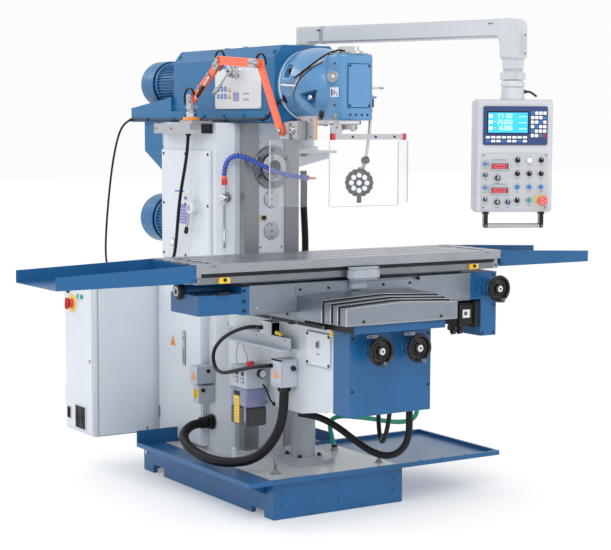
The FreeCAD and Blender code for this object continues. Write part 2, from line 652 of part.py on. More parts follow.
def table_casting():
    """Table with T-slots along X, drain grooves near its ends and a guide slot underneath."""
    near, far = "table_front", "table_front + table_width"
    slab = block(("-table_length / 2", "table_length / 2"), (near, far),
                 ("table_top - table_slab", "table_top"))
    web = block(("-table_length / 2 + 4", "table_length / 2 - 4"), (f"{near} + 12", f"{far} - 12"),
                ("table_bottom", "table_top - table_slab + 1"))
    lower = block(("-table_length / 2 + 4", "table_length / 2 - 40"), (f"{near} + 5", f"{far} - 5"),
                  ("table_bottom", "table_top - table_slab - table_groove"))
    guide = block(("-table_length / 2 - 1", "table_length / 2 + 1"),
                  (f"-520 - table_way_half - {GAP}", f"table_way_half - 520 + {GAP}"),
                  ("table_bottom - 1", "table_bottom + 7"))
    slots = []
    for step in (-1.5, -0.5, 0.5, 1.5):
        centre = f"table_front + table_width / 2 + {step} * slot_pitch"
        throat = block(("-table_length / 2 - 1", "table_length / 2 + 1"),
                       (f"{centre} - slot_width / 2", f"{centre} + slot_width / 2"),
                       ("table_top - slot_depth", "table_top + 1"))
        head = block(("-table_length / 2 - 1", "table_length / 2 + 1"),
                     (f"{centre} - slot_head / 2", f"{centre} + slot_head / 2"),
                     ("table_top - slot_depth", "table_top - slot_depth + 12"))
        slots += [throat, head]
    grooves = [block((f"{middle} - 12", f"{middle} + 12"), (f"{near} + 18", f"{far} - 18"),
                     ("table_top - 10", "table_top + 1"))
               for middle in ("table_length / 2 - 80", "80 - table_length / 2")]
    return cut(fused(slab, web, lower), guide, *slots, *grooves)


def stop_dogs():
    """Two adjustable dogs in the groove along the table's front edge."""
    dogs = []
    for middle in (-670, 640):
        clamp = block((middle - 26, middle + 26), ("table_front - 7", "table_front + 4.4"),
                      ("table_bottom + 2", "table_bottom + 27"))
        bolt = rod("Y", 7, (middle, "table_front - 12", "table_bottom + 17"), 8)
        dogs.append(fused(clamp, bolt))
    return bunch(*dogs)


def table_tray(side, reach):
    """Sheet channel at one end of the table: a floor and two walls that get lower outwards."""
    inner = f"{side} * (table_length / 2 + 0.6)"
    outer = f"{side} * (table_length / 2 + ({reach}))"
    low, high = (inner, outer) if side > 0 else (outer, inner)
    near, far = "table_front", "table_front + table_width"
    bottom = "table_bottom + 8"
    floor = block((low, high), (near, far), (bottom, f"{bottom} + tray_plate"))
    walls = [profile("XZ", [(inner, bottom), (outer, bottom), (outer, f"{bottom} + tray_wall_end"),
                            (inner, f"{bottom} + tray_wall - 4")], "tray_plate", edge)
             for edge in ("table_front + tray_plate", "table_front + table_width")]
    return fused(floor, *walls)


# ---------------------------------------------------------------- ram and universal head

def ram_casting():
    """Hollow ram with bevelled top edges, its wide foot on the column's rail, and the tail below its back."""
    upper = profile("XZ", [("-ram_half", "ram_bottom + 10"), ("ram_half", "ram_bottom + 10"),
                           ("ram_half", "ram_top - 56"), ("ram_half - 44", "ram_top"),
                           ("44 - ram_half", "ram_top"), ("-ram_half", "ram_top - 56")],
                    "ram_back - ram_front", "ram_back")
    foot = block(("-rail_half", "rail_half"), ("ram_front + 6", "ram_back"), ("ram_bottom", "rail_top"))
    tail = profile("YZ", [("ram_back - 1", "ram_bottom"), ("rail_back", "ram_bottom"),
                          ("rail_back", "rail_top + 18"),
                          ("ram_back - 1", "rail_top + 70")], "2 * rail_half", "-rail_half")
    tail_room = block((-164, 164), ("ram_back + 0.2", "rail_back - 6"), ("ram_bottom + 20", "ram_top"))
    skirt = profile("YZ", [(722, "ram_bottom + 1"), (990, "ram_bottom + 1"), (990, 1590), (772, 1482),
                           (722, 1482)],
                    330, -165)
    skirt_room = profile("YZ", [(730, 1700), (982, 1700), (982, 1594), (770, 1490), (730, 1490)], 314, -157)
    hollow = block(("50 - ram_half", "ram_half - 50"), ("ram_front + 30", "ram_back - 30"),
                   ("ram_bottom + 60", "ram_top - 60"))
    rail_slot = block((-90 - GAP, 90 + GAP), ("ram_front - 20", 900), ("ram_bottom - 1", "column_top + 18"))
    return cut(fused(cut(upper, hollow), foot, cut(tail, tail_room), cut(skirt, skirt_room)), rail_slot)


def ram_lever():
    """Lever on the ram's side that shifts the head's speed range."""
    hub = rod("X", 34, ("-ram_half - 40", 30, 1972), 39.4)
    dial = rod("X", 24, ("-ram_half - 52", 30, 1972), 14)
    stem = solid(straight_bar(Vector(-214, 44, 1962), Vector(-226, 150, 1872), 7))
    return fused(hub, dial, stem)


def joint_direction():
    """Axis of the head's inclined joint, up and back at 45 degrees."""
    return Vector(0, 1, 1).normalize()


def joint_centre():
    return Vector(0, cell("joint_y"), cell("head_axis_height"))


def circle_wire(radius, centre, normal):
    return Part.Wire(Part.makeCircle(radius, centre, normal))


def head_knuckle():
    """First swivel of the head: round flange on the ram, closing on the inclined joint."""
    height = cell("head_axis_height")
    start = cell("ram_front") - GAP
    flange = Part.makeCylinder(cell("flange_radius"), 18, Vector(0, start - 18, height), Vector(0, 1, 0))
    root = circle_wire(cell("flange_radius") - 8, Vector(0, start - 14, height), Vector(0, 1, 0))
    face = circle_wire(cell("joint_radius") - 3, joint_centre() + joint_direction() * 12, joint_direction())
    neck = Part.makeLoft([root, face], True)
    plate = Part.makeCylinder(cell("joint_radius"), 14, joint_centre() + joint_direction() * GAP,
                              joint_direction())
    return solid(flange.fuse([neck, plate]))


def lamp_pivot():
    return Vector(118, -640, 1820)


def milling_head():
    """Second swivel: the spindle housing in front of the inclined joint, with the quill bore through it."""
    forward = joint_direction() * -1
    low, high = cell("head_bottom"), cell("head_top")
    barrel = Part.makeCylinder(cell("head_radius"), high - low, Vector(0, cell("head_y"), low))
    shoulder = Part.makeCone(cell("joint_radius"), 104, 176, joint_centre(), forward)
    window = Part.makeBox(400, 520, high - low, Vector(-200, cell("head_y") - 260, low))
    beyond = Part.makeBox(700, 700, 700, Vector(-350, -350, 0))
    beyond.Placement = FreeCAD.Placement(joint_centre(), FreeCAD.Rotation(Vector(0, 0, 1), joint_direction()))
    body = barrel.fuse(shoulder.common(window)).cut(beyond)
    bore = Part.makeCylinder(cell("quill_radius") + GAP, 600, Vector(0, cell("head_y"), low - 100))
    cap = Part.makeCylinder(54, 33, Vector(0, cell("head_y") - 40, high - 4))
    crossbar = straight_bar(Vector(80, -668, 1888), Vector(162, -668, 1888), 6)
    boss = straight_bar(Vector(-70, -640, 1934), Vector(-104, -664, 1934), 30)
    pivot = lamp_pivot()
    lamp_foot = Part.makeBox(16, 40, 52, Vector(84, pivot.y - 20, pivot.z - 20))
    lamp_shelf = Part.makeBox(52, 40, 10, Vector(84, pivot.y - 20, pivot.z + 22))
    lamp_pin = Part.makeCylinder(5, 40, pivot - Vector(0, 0, 18))
    return solid(body.fuse([boss, crossbar, lamp_foot, lamp_shelf, lamp_pin]).cut(bore.cut(
        Part.makeCylinder(200, 200,
                          Vector(0, cell("head_y"), high - 60)))).fuse(cap.cut(beyond)).removeSplitter())


def vertical_spindle():
    """Quill and nose with its taper."""
    shaft = rod("Z", "quill_radius", (0, "head_y", "nose_bottom"), "head_top - 62 - nose_bottom")
    bore = taper("Z", 22.2, 12, (0, "head_y", "nose_bottom - 1"), 90)
    keys = [block((low, low + 16), ("head_y - 8", "head_y + 8"), ("nose_bottom - 8", "nose_bottom + 2"))
            for low in (26, -42)]
    return fused(cut(shaft, bore), *keys)


def work_lamp():
    """Round work light on a long stem; a barrel on the stem turns on the pin at the head's side."""
    pivot = lamp_pivot()
    elbow = Vector(98, -634, 1585)
    centre = Vector(67, -628, 1473)
    aim = Vector(-0.56, -0.82, -0.1).normalize()
    barrel = Part.makeCylinder(14, 38, pivot - Vector(0, 0, 17))
    stem = straight_bar(pivot - Vector(0, 0, 12), elbow, 7)
    knob = straight_bar(elbow - Vector(16, 0, 14), elbow + Vector(10, 0, -14), 15)
    fork = straight_bar(elbow, centre + Vector(14, 20, 40), 9)
    lamp = Part.makeCylinder(60, 46, centre - aim * 46, aim)
    tail = straight_bar(centre - aim * 20 - Vector(0, 0, 50), centre - aim * 20 - Vector(0, 0, 92), 11)
    body = barrel.fuse([stem, knob, fork, lamp, tail]).removeSplitter()
    return solid(body.cut(Part.makeCylinder(5.06, 60, pivot - Vector(0, 0, 30))))


# ---------------------------------------------------------------- pendant

def pendant_arm():
    """Square-section arm: collar on the post, level run, elbow and drop neck."""
    shoulder = Vector(cell("post_x"), cell("post_y"), cell("arm_height"))
    elbow = Vector(cell("neck_x"), cell("neck_y"), cell("arm_height"))
    half = cell("arm_tube") / 2
    turn = math.degrees(math.atan2(elbow.y - shoulder.y, elbow.x - shoulder.x))
    span = (elbow - shoulder).Length
    run = Part.makeBox(span, 2 * half, 2 * half, Vector(0, -half, -half))
    run.Placement = FreeCAD.Placement(shoulder, FreeCAD.Rotation(Vector(0, 0, 1), turn))
    collar = Part.makeCylinder(half + 8, 2 * half + 4, shoulder - Vector(0, 0, half + 2))
    corner = Part.makeCylinder(half + 6, 2 * half, elbow - Vector(0, 0, half))
    neck = Part.makeCylinder(half + 4, 120, elbow - Vector(0, 0, half + 118))
    slim = Part.makeCylinder(half - 2, 118, elbow - Vector(0, 0, half + 220))
    return solid(collar.fuse([run, corner, neck, slim]).removeSplitter())


def turned_pendant(*pieces):
    """Turn pieces made square at the neck to face the operator, and set them at the neck."""
    group = bunch(*pieces) if len(pieces) > 1 else pieces[0]
    shape_turn = FreeCAD.Rotation(Vector(0, 0, 1), cell("pendant_turn"))
    group.Placement = FreeCAD.Placement(Vector(cell("neck_x"), cell("neck_y"), 0), shape_turn)
    return group


def pendant_box():
    """Control box with its neck collar, screen bezel and carrying handle; the front looks to local -Y."""
    box = block(("-pendant_width / 2", "pendant_width / 2"), ("-pendant_depth / 2", "pendant_depth / 2"),
                ("pendant_bottom", "pendant_top"))
    collar = rod("Z", 52, (0, 0, "pendant_top - 1"), 56)
    bezel = block((-146, 146), ("-pendant_depth / 2 - 14", "-pendant_depth / 2 + 1"), (1648, 1812))
    panel = block((-152, 152), ("-pendant_depth / 2 - 4", "-pendant_depth / 2 + 1"), (1356, 1600))
    brackets = [block((left, left + 18), ("-pendant_depth / 2 - 6", "-pendant_depth / 2 + 40"),
                      ("pendant_bottom - 72", "pendant_bottom + 1")) for left in (-136, 118)]
    bar = rod("X", 11, (-130, "-pendant_depth / 2 + 12", "pendant_bottom - 60"), 260)
    return fused(box, collar, bezel, panel, *brackets, bar)


def emergency_stop():
    cap = rod("Y", 22, (122, "-pendant_depth / 2 - 38", 1392), 18)
    stem = rod("Y", 14, (122, "-pendant_depth / 2 - 22", 1392), 12)
    return fused(cap, stem)


# ---------------------------------------------------------------- hoses and cables

CORD_ROUTES = {
    "column_conduit": (17, [
        (335, 250, 1499), (338, 248, 1420), (334, 246, 1330), (336, 238, 1230), (340, 236, 1120),
        (338, 244, 1010), (330, 262, 900), (310, 290, 800), (282, 318, 716), (248, 334, 664)]),
    "ram_cable": (5.5, [
        (-190, 1080, 1752), (-218, 1102, 1738), (-244, 1120, 1690), (-262, 1132, 1612), (-278, 1138, 1520),
        (-292, 1138, 1425), (-306, 1132, 1330), (-322, 1118, 1238), (-342, 1090, 1150), (-366, 1046, 1072),
        (-390, 985, 1018), (-408, 926, 996), (-416, 892, 976)]),
    "guard_cable": (8, [
        (-268, 330, 1681), (-270, 334, 1610), (-276, 344, 1534), (-284, 360, 1452), (-288, 380, 1368),
        (-286, 402, 1284), (-280, 426, 1200), (-276, 450, 1118), (-280, 470, 1060), (-292, 482, 1036)]),
    "knee_conduit": (22, [
        (-257, -528, 555), (-258, -526, 470), (-270, -512, 390), (-300, -480, 310), (-352, -430, 246),
        (-412, -350, 222), (-450, -240, 216), (-468, -120, 228), (-462, 0, 250), (-430, 92, 280),
        (-368, 144, 302), (-318, 158, 310), (-263, 160, 311)]),
    "knee_hose_loop": (8.5, [
        (-271, -345, 822), (-292, -320, 826), (-320, -262, 812), (-338, -180, 780), (-342, -100, 736),
        (-338, -40, 688), (-336, -30, 640), (-338, -60, 600), (-342, -130, 592), (-348, -220, 612),
        (-350, -310, 634), (-346, -400, 654), (-332, -458, 666), (-309, -494, 671)]),
    "under_knee_hose": (16, [
        (-150, -480, 442), (-95, -500, 432), (-40, -528, 410), (12, -566, 372), (58, -612, 324),
        (100, -664, 282), (138, -722, 260), (166, -780, 272), (180, -830, 314), (178, -864, 370),
        (170, -879, 434), (167, -880, 500)]),
    "under_knee_loop": (10, [
        (45, -905, 501), (42, -900, 450), (45, -880, 400), (55, -850, 362), (72, -810, 345),
        (92, -768, 350), (110, -735, 378), (122, -712, 425), (126, -704, 479)]),
    "coolant_hose": (11, [
        (262, -150, 184), (250, -146, 240), (232, -152, 292), (228, -176, 334), (250, -222, 352),
        (300, -272, 350), (356, -326, 345), (412, -374, 334), (464, -418, 332), (498, -456, 346),
        (504, -486, 384), (484, -506, 426), (440, -516, 462), (384, -518, 490), (324, -517, 508),
        (268, -515, 516), (213, -514, 518)]),
}


def path_wire(points, radii):
    """Straight runs joined by tangent arcs at the inner points of a route."""
    edges = []
    at = points[0]
    for index in range(1, len(points) - 1):
        corner, radius = points[index], radii[index - 1]
        back = (points[index - 1] - corner).normalize()
        ahead = (points[index + 1] - corner).normalize()
        turn = math.pi - back.getAngle(ahead)
        reach = radius * math.tan(turn / 2)
        begin = corner + back * reach
        end = corner + ahead * reach
        middle = corner + (back + ahead).normalize() * (radius / math.cos(turn / 2) - radius)
        edges.append(Part.LineSegment(at, begin).toShape())
        edges.append(Part.Arc(begin, middle, end).toShape())
        at = end
    edges.append(Part.LineSegment(at, points[-1]).toShape())
    return Part.Wire(edges)


def bend_radii(points):
    """The largest arc that each inner point's two runs allow."""
    radii = []
    for index in range(1, len(points) - 1):
        back = points[index - 1] - points[index]
        ahead = points[index + 1] - points[index]
        turn = max(math.pi - back.getAngle(ahead), 0.01)
        radii.append(0.45 * min(back.Length, ahead.Length) / math.tan(turn / 2))
    return radii


def tube_shape(points, radius):
    """A round tube along a route of points."""
    path = path_wire(points, bend_radii(points))
    section = circle_wire(radius, points[0], points[1] - points[0])
    return path.makePipeShell([section], True, True)


def cord(label, radius, route):
    """A hose or cable as one round tube; its volume is compared with its section times its length."""
    points = [Vector(*point) for point in route]
    radii = bend_radii(points)
    length = path_wire(points, radii).Length
    tube = tube_shape(points, radius)
    print(f"{label}: length {length:.0f} mm, volume ratio {tube.Volume / (math.pi * radius ** 2 * length):.4f}, "
          f"radii {' '.join(f'{bend:.0f}' for bend in radii)}")
    publish(label, solid(tube))


# ---------------------------------------------------------------- assembly

publish("base_casting", base_casting())
publish("drip_tray", drip_tray())
publish("anchor_bolts", anchor_bolts())
publish("column_casting", column_casting())
publish("column_covers", bunch(gearbox_cover(), column_side_door()))
publish("speed_lever", speed_lever())
publish("front_flanges", front_flanges())
publish("horizontal_spindle", horizontal_spindle())
publish("main_motor", electric_motor("motor_height", 118, 126, "column_back + 0.4"))
publish("electrical_cabinet", electrical_cabinet())
publish("cabinet_door", cabinet_door())
publish("main_switch", main_switch())
publish("junction_boxes", junction_boxes())
publish("pedestal", pedestal())
publish("coolant_pipe", coolant_pipe())
publish("pendant_post", pendant_post())

publish("guard_bracket", guard_bracket())
publish("guard_pole", guard_pole())
publish("guard_link_lower", guard_link(ARM_PIVOTS["shoulder"], ARM_PIVOTS["elbow"], 0, -1))
publish("guard_link_middle", guard_link(ARM_PIVOTS["elbow"], ARM_PIVOTS["wrist"], -13.5, 0))
publish("guard_link_upper", guard_link(ARM_PIVOTS["wrist"], ARM_PIVOTS["hand"], 0, 1))
publish("guard_carrier", guard_carrier())
publish("guard_panels", guard_panels())

publish("knee_casting", knee_casting())
publish("knee_front_cover", knee_front_cover())
publish("knee_junction_box", knee_junction_box())
publish("lubricator", lubricator())
publish("elevating_screw", elevating_screw())
publish("knee_handwheel", handwheel("wheel_offset", "wheel_face", "wheel_height"))
publish("saddle_handwheel", handwheel("-wheel_offset", "wheel_face", "wheel_height"))
publish("way_cover_front", way_cover(286, 976, -1057, -963, True))
publish("way_cover_second", way_cover(292, 983, -1003, -919, False))
publish("way_cover_third", way_cover(298, 990, -959, -861, False))
publish("way_cover_rear", way_cover(304, 997, -901, "saddle_front - 0.4", False))

publish("saddle_casting", saddle_casting())
publish("table_screw_housings", bunch(saddle_end_housing(), feed_gearbox()))
publish("feed_motor", feed_motor())
publish("table_handwheel", handwheel("727", "saddle_front - 105", "984"))
publish("limit_switch", limit_switch())
publish("table", table_casting())
publish("stop_dogs", stop_dogs())
publish("table_trays", bunch(table_tray(-1, "tray_reach_left"), table_tray(1, "tray_reach_right")))

publish("ram_casting", ram_casting())
publish("ram_motor", electric_motor("ram_motor_height", 110, 118, "ram_back + 0.4"))
publish("ram_lever", ram_lever())
publish("head_knuckle", head_knuckle())
publish("milling_head", milling_head())
publish("vertical_spindle", vertical_spindle())
publish("work_lamp", work_lamp())

publish("pendant_arm", pendant_arm())
publish("pendant_box", turned_pendant(pendant_box()))
publish("emergency_stop", turned_pendant(emergency_stop()))

for name, (half_width, stops) in CORD_ROUTES.items():
    cord(name, half_width, stops)

document.recompute()
failed = [thing.Name for thing in document.Objects if "Invalid" in thing.State or "Error" in thing.State]
if failed:
    raise RuntimeError(f"failed to compute: {failed}")
for piece in published:
    if piece.Shape.isNull() or not piece.Shape.isValid():
        raise RuntimeError(f"{piece.Label} has no valid shape")

os.makedirs("parts", exist_ok=True)
for piece in published:
    piece.Shape.exportStep(f"parts/{piece.Label}.step")
print(f"{len(published)} sub-parts written")
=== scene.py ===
"""Looks of a knee-type universal milling machine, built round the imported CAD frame.

Lengths are in mm unless said."""
import itertools
import math

import bmesh
import bpy
from mathutils import Matrix, Vector


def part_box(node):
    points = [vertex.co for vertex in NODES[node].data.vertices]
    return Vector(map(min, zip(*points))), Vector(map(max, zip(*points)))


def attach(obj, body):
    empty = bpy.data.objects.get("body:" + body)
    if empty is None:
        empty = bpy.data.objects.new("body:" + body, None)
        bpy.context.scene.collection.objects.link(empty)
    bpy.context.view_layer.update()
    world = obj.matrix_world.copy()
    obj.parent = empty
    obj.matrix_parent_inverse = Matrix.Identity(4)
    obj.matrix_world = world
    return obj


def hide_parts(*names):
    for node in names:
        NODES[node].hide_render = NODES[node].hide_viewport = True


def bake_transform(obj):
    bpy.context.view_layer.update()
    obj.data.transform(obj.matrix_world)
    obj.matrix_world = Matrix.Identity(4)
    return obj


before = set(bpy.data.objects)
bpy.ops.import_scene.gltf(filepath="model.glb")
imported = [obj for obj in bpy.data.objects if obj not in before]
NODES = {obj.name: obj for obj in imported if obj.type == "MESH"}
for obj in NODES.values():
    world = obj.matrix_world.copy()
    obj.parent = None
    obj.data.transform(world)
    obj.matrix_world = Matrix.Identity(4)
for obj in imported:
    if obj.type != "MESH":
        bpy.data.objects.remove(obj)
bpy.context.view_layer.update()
MM = 0.001
LEFT, RIGHT = (-1, 0, 0), (1, 0, 0)
FRONT, BACK = (0, -1, 0), (0, 1, 0)
DOWN, UP = (0, 0, -1), (0, 0, 1)


def placed(name, data):
    """A new object of the scene that holds the given data."""
    piece = bpy.data.objects.new(name, data)
    bpy.context.scene.collection.objects.link(piece)
    return piece


def preset(node, values):
    """Set constant values on a node's input sockets."""
    for socket, value in values.items():
        node.inputs[socket].default_value = value


def around(count, reach, start=0.0, whole=360.0):
    """Offsets evenly spaced on a circle; start and whole are in degrees."""
    turns = [math.radians(start + whole * k / count) for k in range(count)]
    return [(reach * math.cos(turn), reach * math.sin(turn)) for turn in turns]


# ---------------------------------------------------------------- materials

def node_material(name):
    material = bpy.data.materials.new(name)
    material.use_nodes = True
    return material, material.node_tree.nodes, material.node_tree.links


def texture_space(nodes, links, stretch=(1, 1, 1)):
    """Object coordinates in metres, stretched per axis."""
    coordinates = nodes.new("ShaderNodeTexCoord")
    mapping = nodes.new("ShaderNodeMapping")
    mapping.inputs["Scale"].default_value = stretch
    links.new(coordinates.outputs["Object"], mapping.inputs["Vector"])
    return mapping.outputs["Vector"]


def noise(nodes, links, space, scale, detail=2.0, roughness=0.5):
    texture = nodes.new("ShaderNodeTexNoise")
    preset(texture, {"Scale": scale, "Detail": detail, "Roughness": roughness})
    links.new(space, texture.inputs["Vector"])
    return texture.outputs["Fac"]


def spread(nodes, links, factor, low, high, before=0.3, after=0.7):
    """Map a factor from before..after to low..high."""
    span = nodes.new("ShaderNodeMapRange")
    preset(span, {"From Min": before, "From Max": after, "To Min": low, "To Max": high})
    links.new(factor, span.inputs["Value"])
    return span.outputs["Result"]


def mixed(nodes, links, factor, first, second):
    """Mix two colours, or two colour sockets, by a factor socket."""
    mix = nodes.new("ShaderNodeMix")
    mix.data_type = "RGBA"
    links.new(factor, mix.inputs[0])
    for socket, colour in ((mix.inputs[6], first), (mix.inputs[7], second)):
        if isinstance(colour, bpy.types.NodeSocket):
            links.new(colour, socket)
        else:
            socket.default_value = (*colour, 1)
    return mix.outputs[2]


def shade(colour, share):
    return tuple(min(1.0, channel * share) for channel in colour)


def finish(name, colour, roughness, metallic=0.0, mottle=0.06, mottle_scale=5.0, grain=None, grain_depth=0.02,
           wave=None, stretch=(1, 1, 1), rough_spread=0.08, coat=0.0, specular=0.5, dust=0.0):
    """A procedural finish: mottled colour, uneven roughness, and a fine bump from stretched noise.

    grain is the noise scale of the fine bump, and wave that of a slow unevenness under it."""
    material, nodes, links = node_material(name)
    shader = nodes["Principled BSDF"]
    preset(shader, {"Metallic": metallic, "Coat Weight": coat, "Coat Roughness": 0.12,
                    "Specular IOR Level": specular})
    plain = texture_space(nodes, links)
    streaky = texture_space(nodes, links, stretch)
    slow = noise(nodes, links, plain, mottle_scale, 4.0, 0.6)
    fine = noise(nodes, links, streaky, grain or 300.0, 3.0, 0.6)
    tone = mixed(nodes, links, spread(nodes, links, slow, 0, 1), shade(colour, 1 - mottle),
                 shade(colour, 1 + mottle))
    if dust:
        geometry = nodes.new("ShaderNodeNewGeometry")
        split = nodes.new("ShaderNodeSeparateXYZ")
        links.new(geometry.outputs["Normal"], split.inputs[0])
        patches = nodes.new("ShaderNodeMath")
        patches.operation = "MULTIPLY"
        links.new(spread(nodes, links, split.outputs["Z"], 0, dust, 0.6, 1.0), patches.inputs[0])
        links.new(spread(nodes, links, noise(nodes, links, plain, 9.0, 5.0), 0.2, 1), patches.inputs[1])
        tone = mixed(nodes, links, patches.outputs[0], tone, (0.62, 0.62, 0.60))
    links.new(tone, shader.inputs["Base Color"])
    uneven = nodes.new("ShaderNodeMath")
    uneven.operation = "ADD"
    links.new(spread(nodes, links, slow, -rough_spread / 2, rough_spread / 2), uneven.inputs[0])
    links.new(spread(nodes, links, fine, roughness - rough_spread / 2, roughness + rough_spread / 2),
              uneven.inputs[1])
    links.new(uneven.outputs[0], shader.inputs["Roughness"])
    if grain:
        bump = nodes.new("ShaderNodeBump")
        preset(bump, {"Strength": 0.5, "Distance": grain_depth * MM})
        links.new(fine, bump.inputs["Height"])
        if wave:
            under = nodes.new("ShaderNodeBump")
            preset(under, {"Strength": 0.5, "Distance": 0.6 * MM})
            links.new(noise(nodes, links, plain, wave, 2.0), under.inputs["Height"])
            links.new(under.outputs["Normal"], bump.inputs["Normal"])
        links.new(bump.outputs["Normal"], shader.inputs["Normal"])
    return material


def glow(name, colour, strength, mottle=0.1):
    """A lit display surface."""
    material = finish(name, colour, 0.25, mottle=mottle, mottle_scale=30)
    preset(material.node_tree.nodes["Principled BSDF"],
           {"Emission Color": (*colour, 1), "Emission Strength": strength})
    return material


WHITE_CAST = finish("white cast paint", (0.565, 0.61, 0.665), 0.38, mottle=0.035, grain=260, grain_depth=0.12,
                    wave=14, coat=0.25)
WHITE_SHEET = finish("white sheet paint", (0.60, 0.645, 0.70), 0.34, mottle=0.025, grain=700,
                     grain_depth=0.03, coat=0.2)
# A darker copy of the white sheet paint for the pendant, its arm, post and collars: painted shade, as these
# parts stand clear of the machine and take more of the studio light.
WHITE_SHEET_SHADED = finish("white sheet paint with painted shade", (0.545, 0.57, 0.605), 0.34, mottle=0.025, grain=700,
                    grain_depth=0.03, coat=0.2)
BLUE = finish("blue sheet paint", (0.009, 0.098, 0.255), 0.34, mottle=0.10, grain=600, grain_depth=0.04,
              coat=0.1, specular=0.35,
              dust=0.03)
BLUE_CAST = finish("blue cast paint", (0.075, 0.235, 0.46), 0.36, mottle=0.08, grain=260, grain_depth=0.12,
                   wave=16, coat=0.35, dust=0.05)
BLUE_RAM = finish("blue ram paint", (0.014, 0.128, 0.300), 0.38, grain=420, grain_depth=0.07,
                  wave=10, coat=0.05,
                  specular=0.25, dust=0.02)
GROUND = finish("ground iron", (0.20, 0.215, 0.24), 0.36, 0.75, mottle=0.10, mottle_scale=9, grain=40,
                grain_depth=0.03,
                stretch=(1, 14, 14), rough_spread=0.16)
TABLE_TOP = finish("planed table iron", (0.33, 0.35, 0.385), 0.30, 0.9, mottle=0.08, mottle_scale=7, grain=34,
                   grain_depth=0.02,
                   stretch=(1, 22, 22), rough_spread=0.14)
SADDLE_GREY = finish("milled saddle iron", (0.215, 0.25, 0.295), 0.42, 0.6, mottle=0.10, mottle_scale=12,
                     grain=60, grain_depth=0.03,
                     stretch=(1, 6, 9), rough_spread=0.14)
WAY = finish("machined guideway", (0.25, 0.26, 0.28), 0.33, 0.7, grain=60, grain_depth=0.02,
             stretch=(9, 9, 1))
STAINLESS = finish("brushed cover plate", (0.25, 0.28, 0.325), 0.33, 0.95, mottle=0.04, grain=90,
                   grain_depth=0.008,
                   stretch=(0.3, 9, 9), rough_spread=0.05)
STEEL = finish("turned steel", (0.40, 0.41, 0.43), 0.24, 1.0, mottle=0.05, grain=160, grain_depth=0.015)
CHROME = finish("bright plating", (0.60, 0.61, 0.63), 0.12, 1.0, mottle=0.03, rough_spread=0.04)
ALUMINIUM = finish("anodised bar", (0.45, 0.46, 0.49), 0.33, 0.9, mottle=0.04, grain=90, grain_depth=0.015,
                   stretch=(1, 8, 8))
PEDESTAL_GREY = finish("grey tube paint", (0.33, 0.36, 0.40), 0.42, mottle=0.05, grain=400, grain_depth=0.05,
                       coat=0.15)
BLACK_BOLT = finish("blackened steel", (0.022, 0.022, 0.025), 0.36, 0.5, mottle=0.2, grain=500,
                    grain_depth=0.02)
BLACK_PLASTIC = finish("black bakelite", (0.006, 0.006, 0.008), 0.24, mottle=0.2, grain=500, grain_depth=0.01,
                       specular=0.4)
BLACK_MATTE = finish("black satin paint", (0.010, 0.010, 0.012), 0.46, mottle=0.2, grain=600,
                     grain_depth=0.04, specular=0.3)
BLACK_RUBBER = finish("black hose rubber", (0.006, 0.006, 0.008), 0.40, mottle=0.25, grain=420,
                      grain_depth=0.05, specular=0.22)
BOX_GREY = finish("grey box enamel", (0.42, 0.46, 0.52), 0.44, mottle=0.04, grain=700, grain_depth=0.05)
ORANGE = finish("orange link paint", (0.83, 0.115, 0.035), 0.36, mottle=0.07, grain=500, grain_depth=0.03,
                coat=0.3)
AMBER = finish("amber plate", (0.72, 0.25, 0.02), 0.30, mottle=0.1, grain=400, grain_depth=0.02, coat=0.3)
HOSE_BLUE = finish("blue segment plastic", (0.02, 0.065, 0.40), 0.26, mottle=0.12, grain=300,
                   grain_depth=0.02, coat=0.4)
HOSE_ORANGE = finish("orange nozzle plastic", (0.80, 0.17, 0.07), 0.30, mottle=0.08, grain=300,
                     grain_depth=0.02)
GREEN_HOSE = finish("green flat hose", (0.035, 0.36, 0.24), 0.32, mottle=0.15, mottle_scale=20, grain=200,
                    grain_depth=0.03)
RED = finish("red plastic", (0.55, 0.015, 0.02), 0.28, mottle=0.08, grain=400, grain_depth=0.01, coat=0.3)
RED_SOFT = finish("rose mushroom plastic", (0.72, 0.10, 0.12), 0.30, mottle=0.05, grain=400, grain_depth=0.01,
                  coat=0.3)
YELLOW = finish("yellow enamel", (0.78, 0.52, 0.03), 0.36, grain=500, grain_depth=0.02)
BUTTON_BLUE = finish("blue button", (0.02, 0.16, 0.50), 0.26, grain=400, grain_depth=0.01,
                     coat=0.4)
BUTTON_GREEN = finish("green button", (0.01, 0.30, 0.26), 0.26, grain=400, grain_depth=0.01,
                      coat=0.4)
BUTTON_WHITE = finish("white lens", (0.92, 0.92, 0.90), 0.22, mottle=0.03, grain=400, grain_depth=0.01,
                      coat=0.4)
BEZEL = finish("dark blue bezel", (0.018, 0.045, 0.16), 0.34, mottle=0.08, grain=600, grain_depth=0.02,
               coat=0.2)
PANEL = finish("silver panel film", (0.48, 0.50, 0.53), 0.32, mottle=0.02, grain=800, grain_depth=0.01)
PLATE = finish("printed plate", (0.66, 0.68, 0.71), 0.34, mottle=0.02, grain=800, grain_depth=0.01)
PRINT_BLUE = finish("plate print blue", (0.05, 0.17, 0.48), 0.40, mottle=0.04, grain=800, grain_depth=0.005)
PRINT_VIOLET = finish("plate print violet", (0.20, 0.22, 0.48), 0.40, mottle=0.08, grain=800,
                      grain_depth=0.005)
PRINT_DARK = finish("plate print dark", (0.06, 0.065, 0.08), 0.40, mottle=0.1, grain=800, grain_depth=0.005)
SCREEN = glow("screen backlight", (0.03, 0.42, 0.75), 0.55)
DIGIT = glow("screen digits", (0.75, 0.95, 1.0), 0.8, 0.02)
LED_WINDOW = finish("display window", (0.03, 0.008, 0.01), 0.15, mottle=0.1, coat=0.5)
LED = glow("display digits", (1.0, 0.10, 0.14), 1.2, 0.02)
LENS = glow("lamp lens", (0.80, 0.84, 0.92), 0.35, 0.05)
CRANK = finish("smoked crank grip", (0.035, 0.04, 0.06), 0.10, mottle=0.1, coat=0.9)
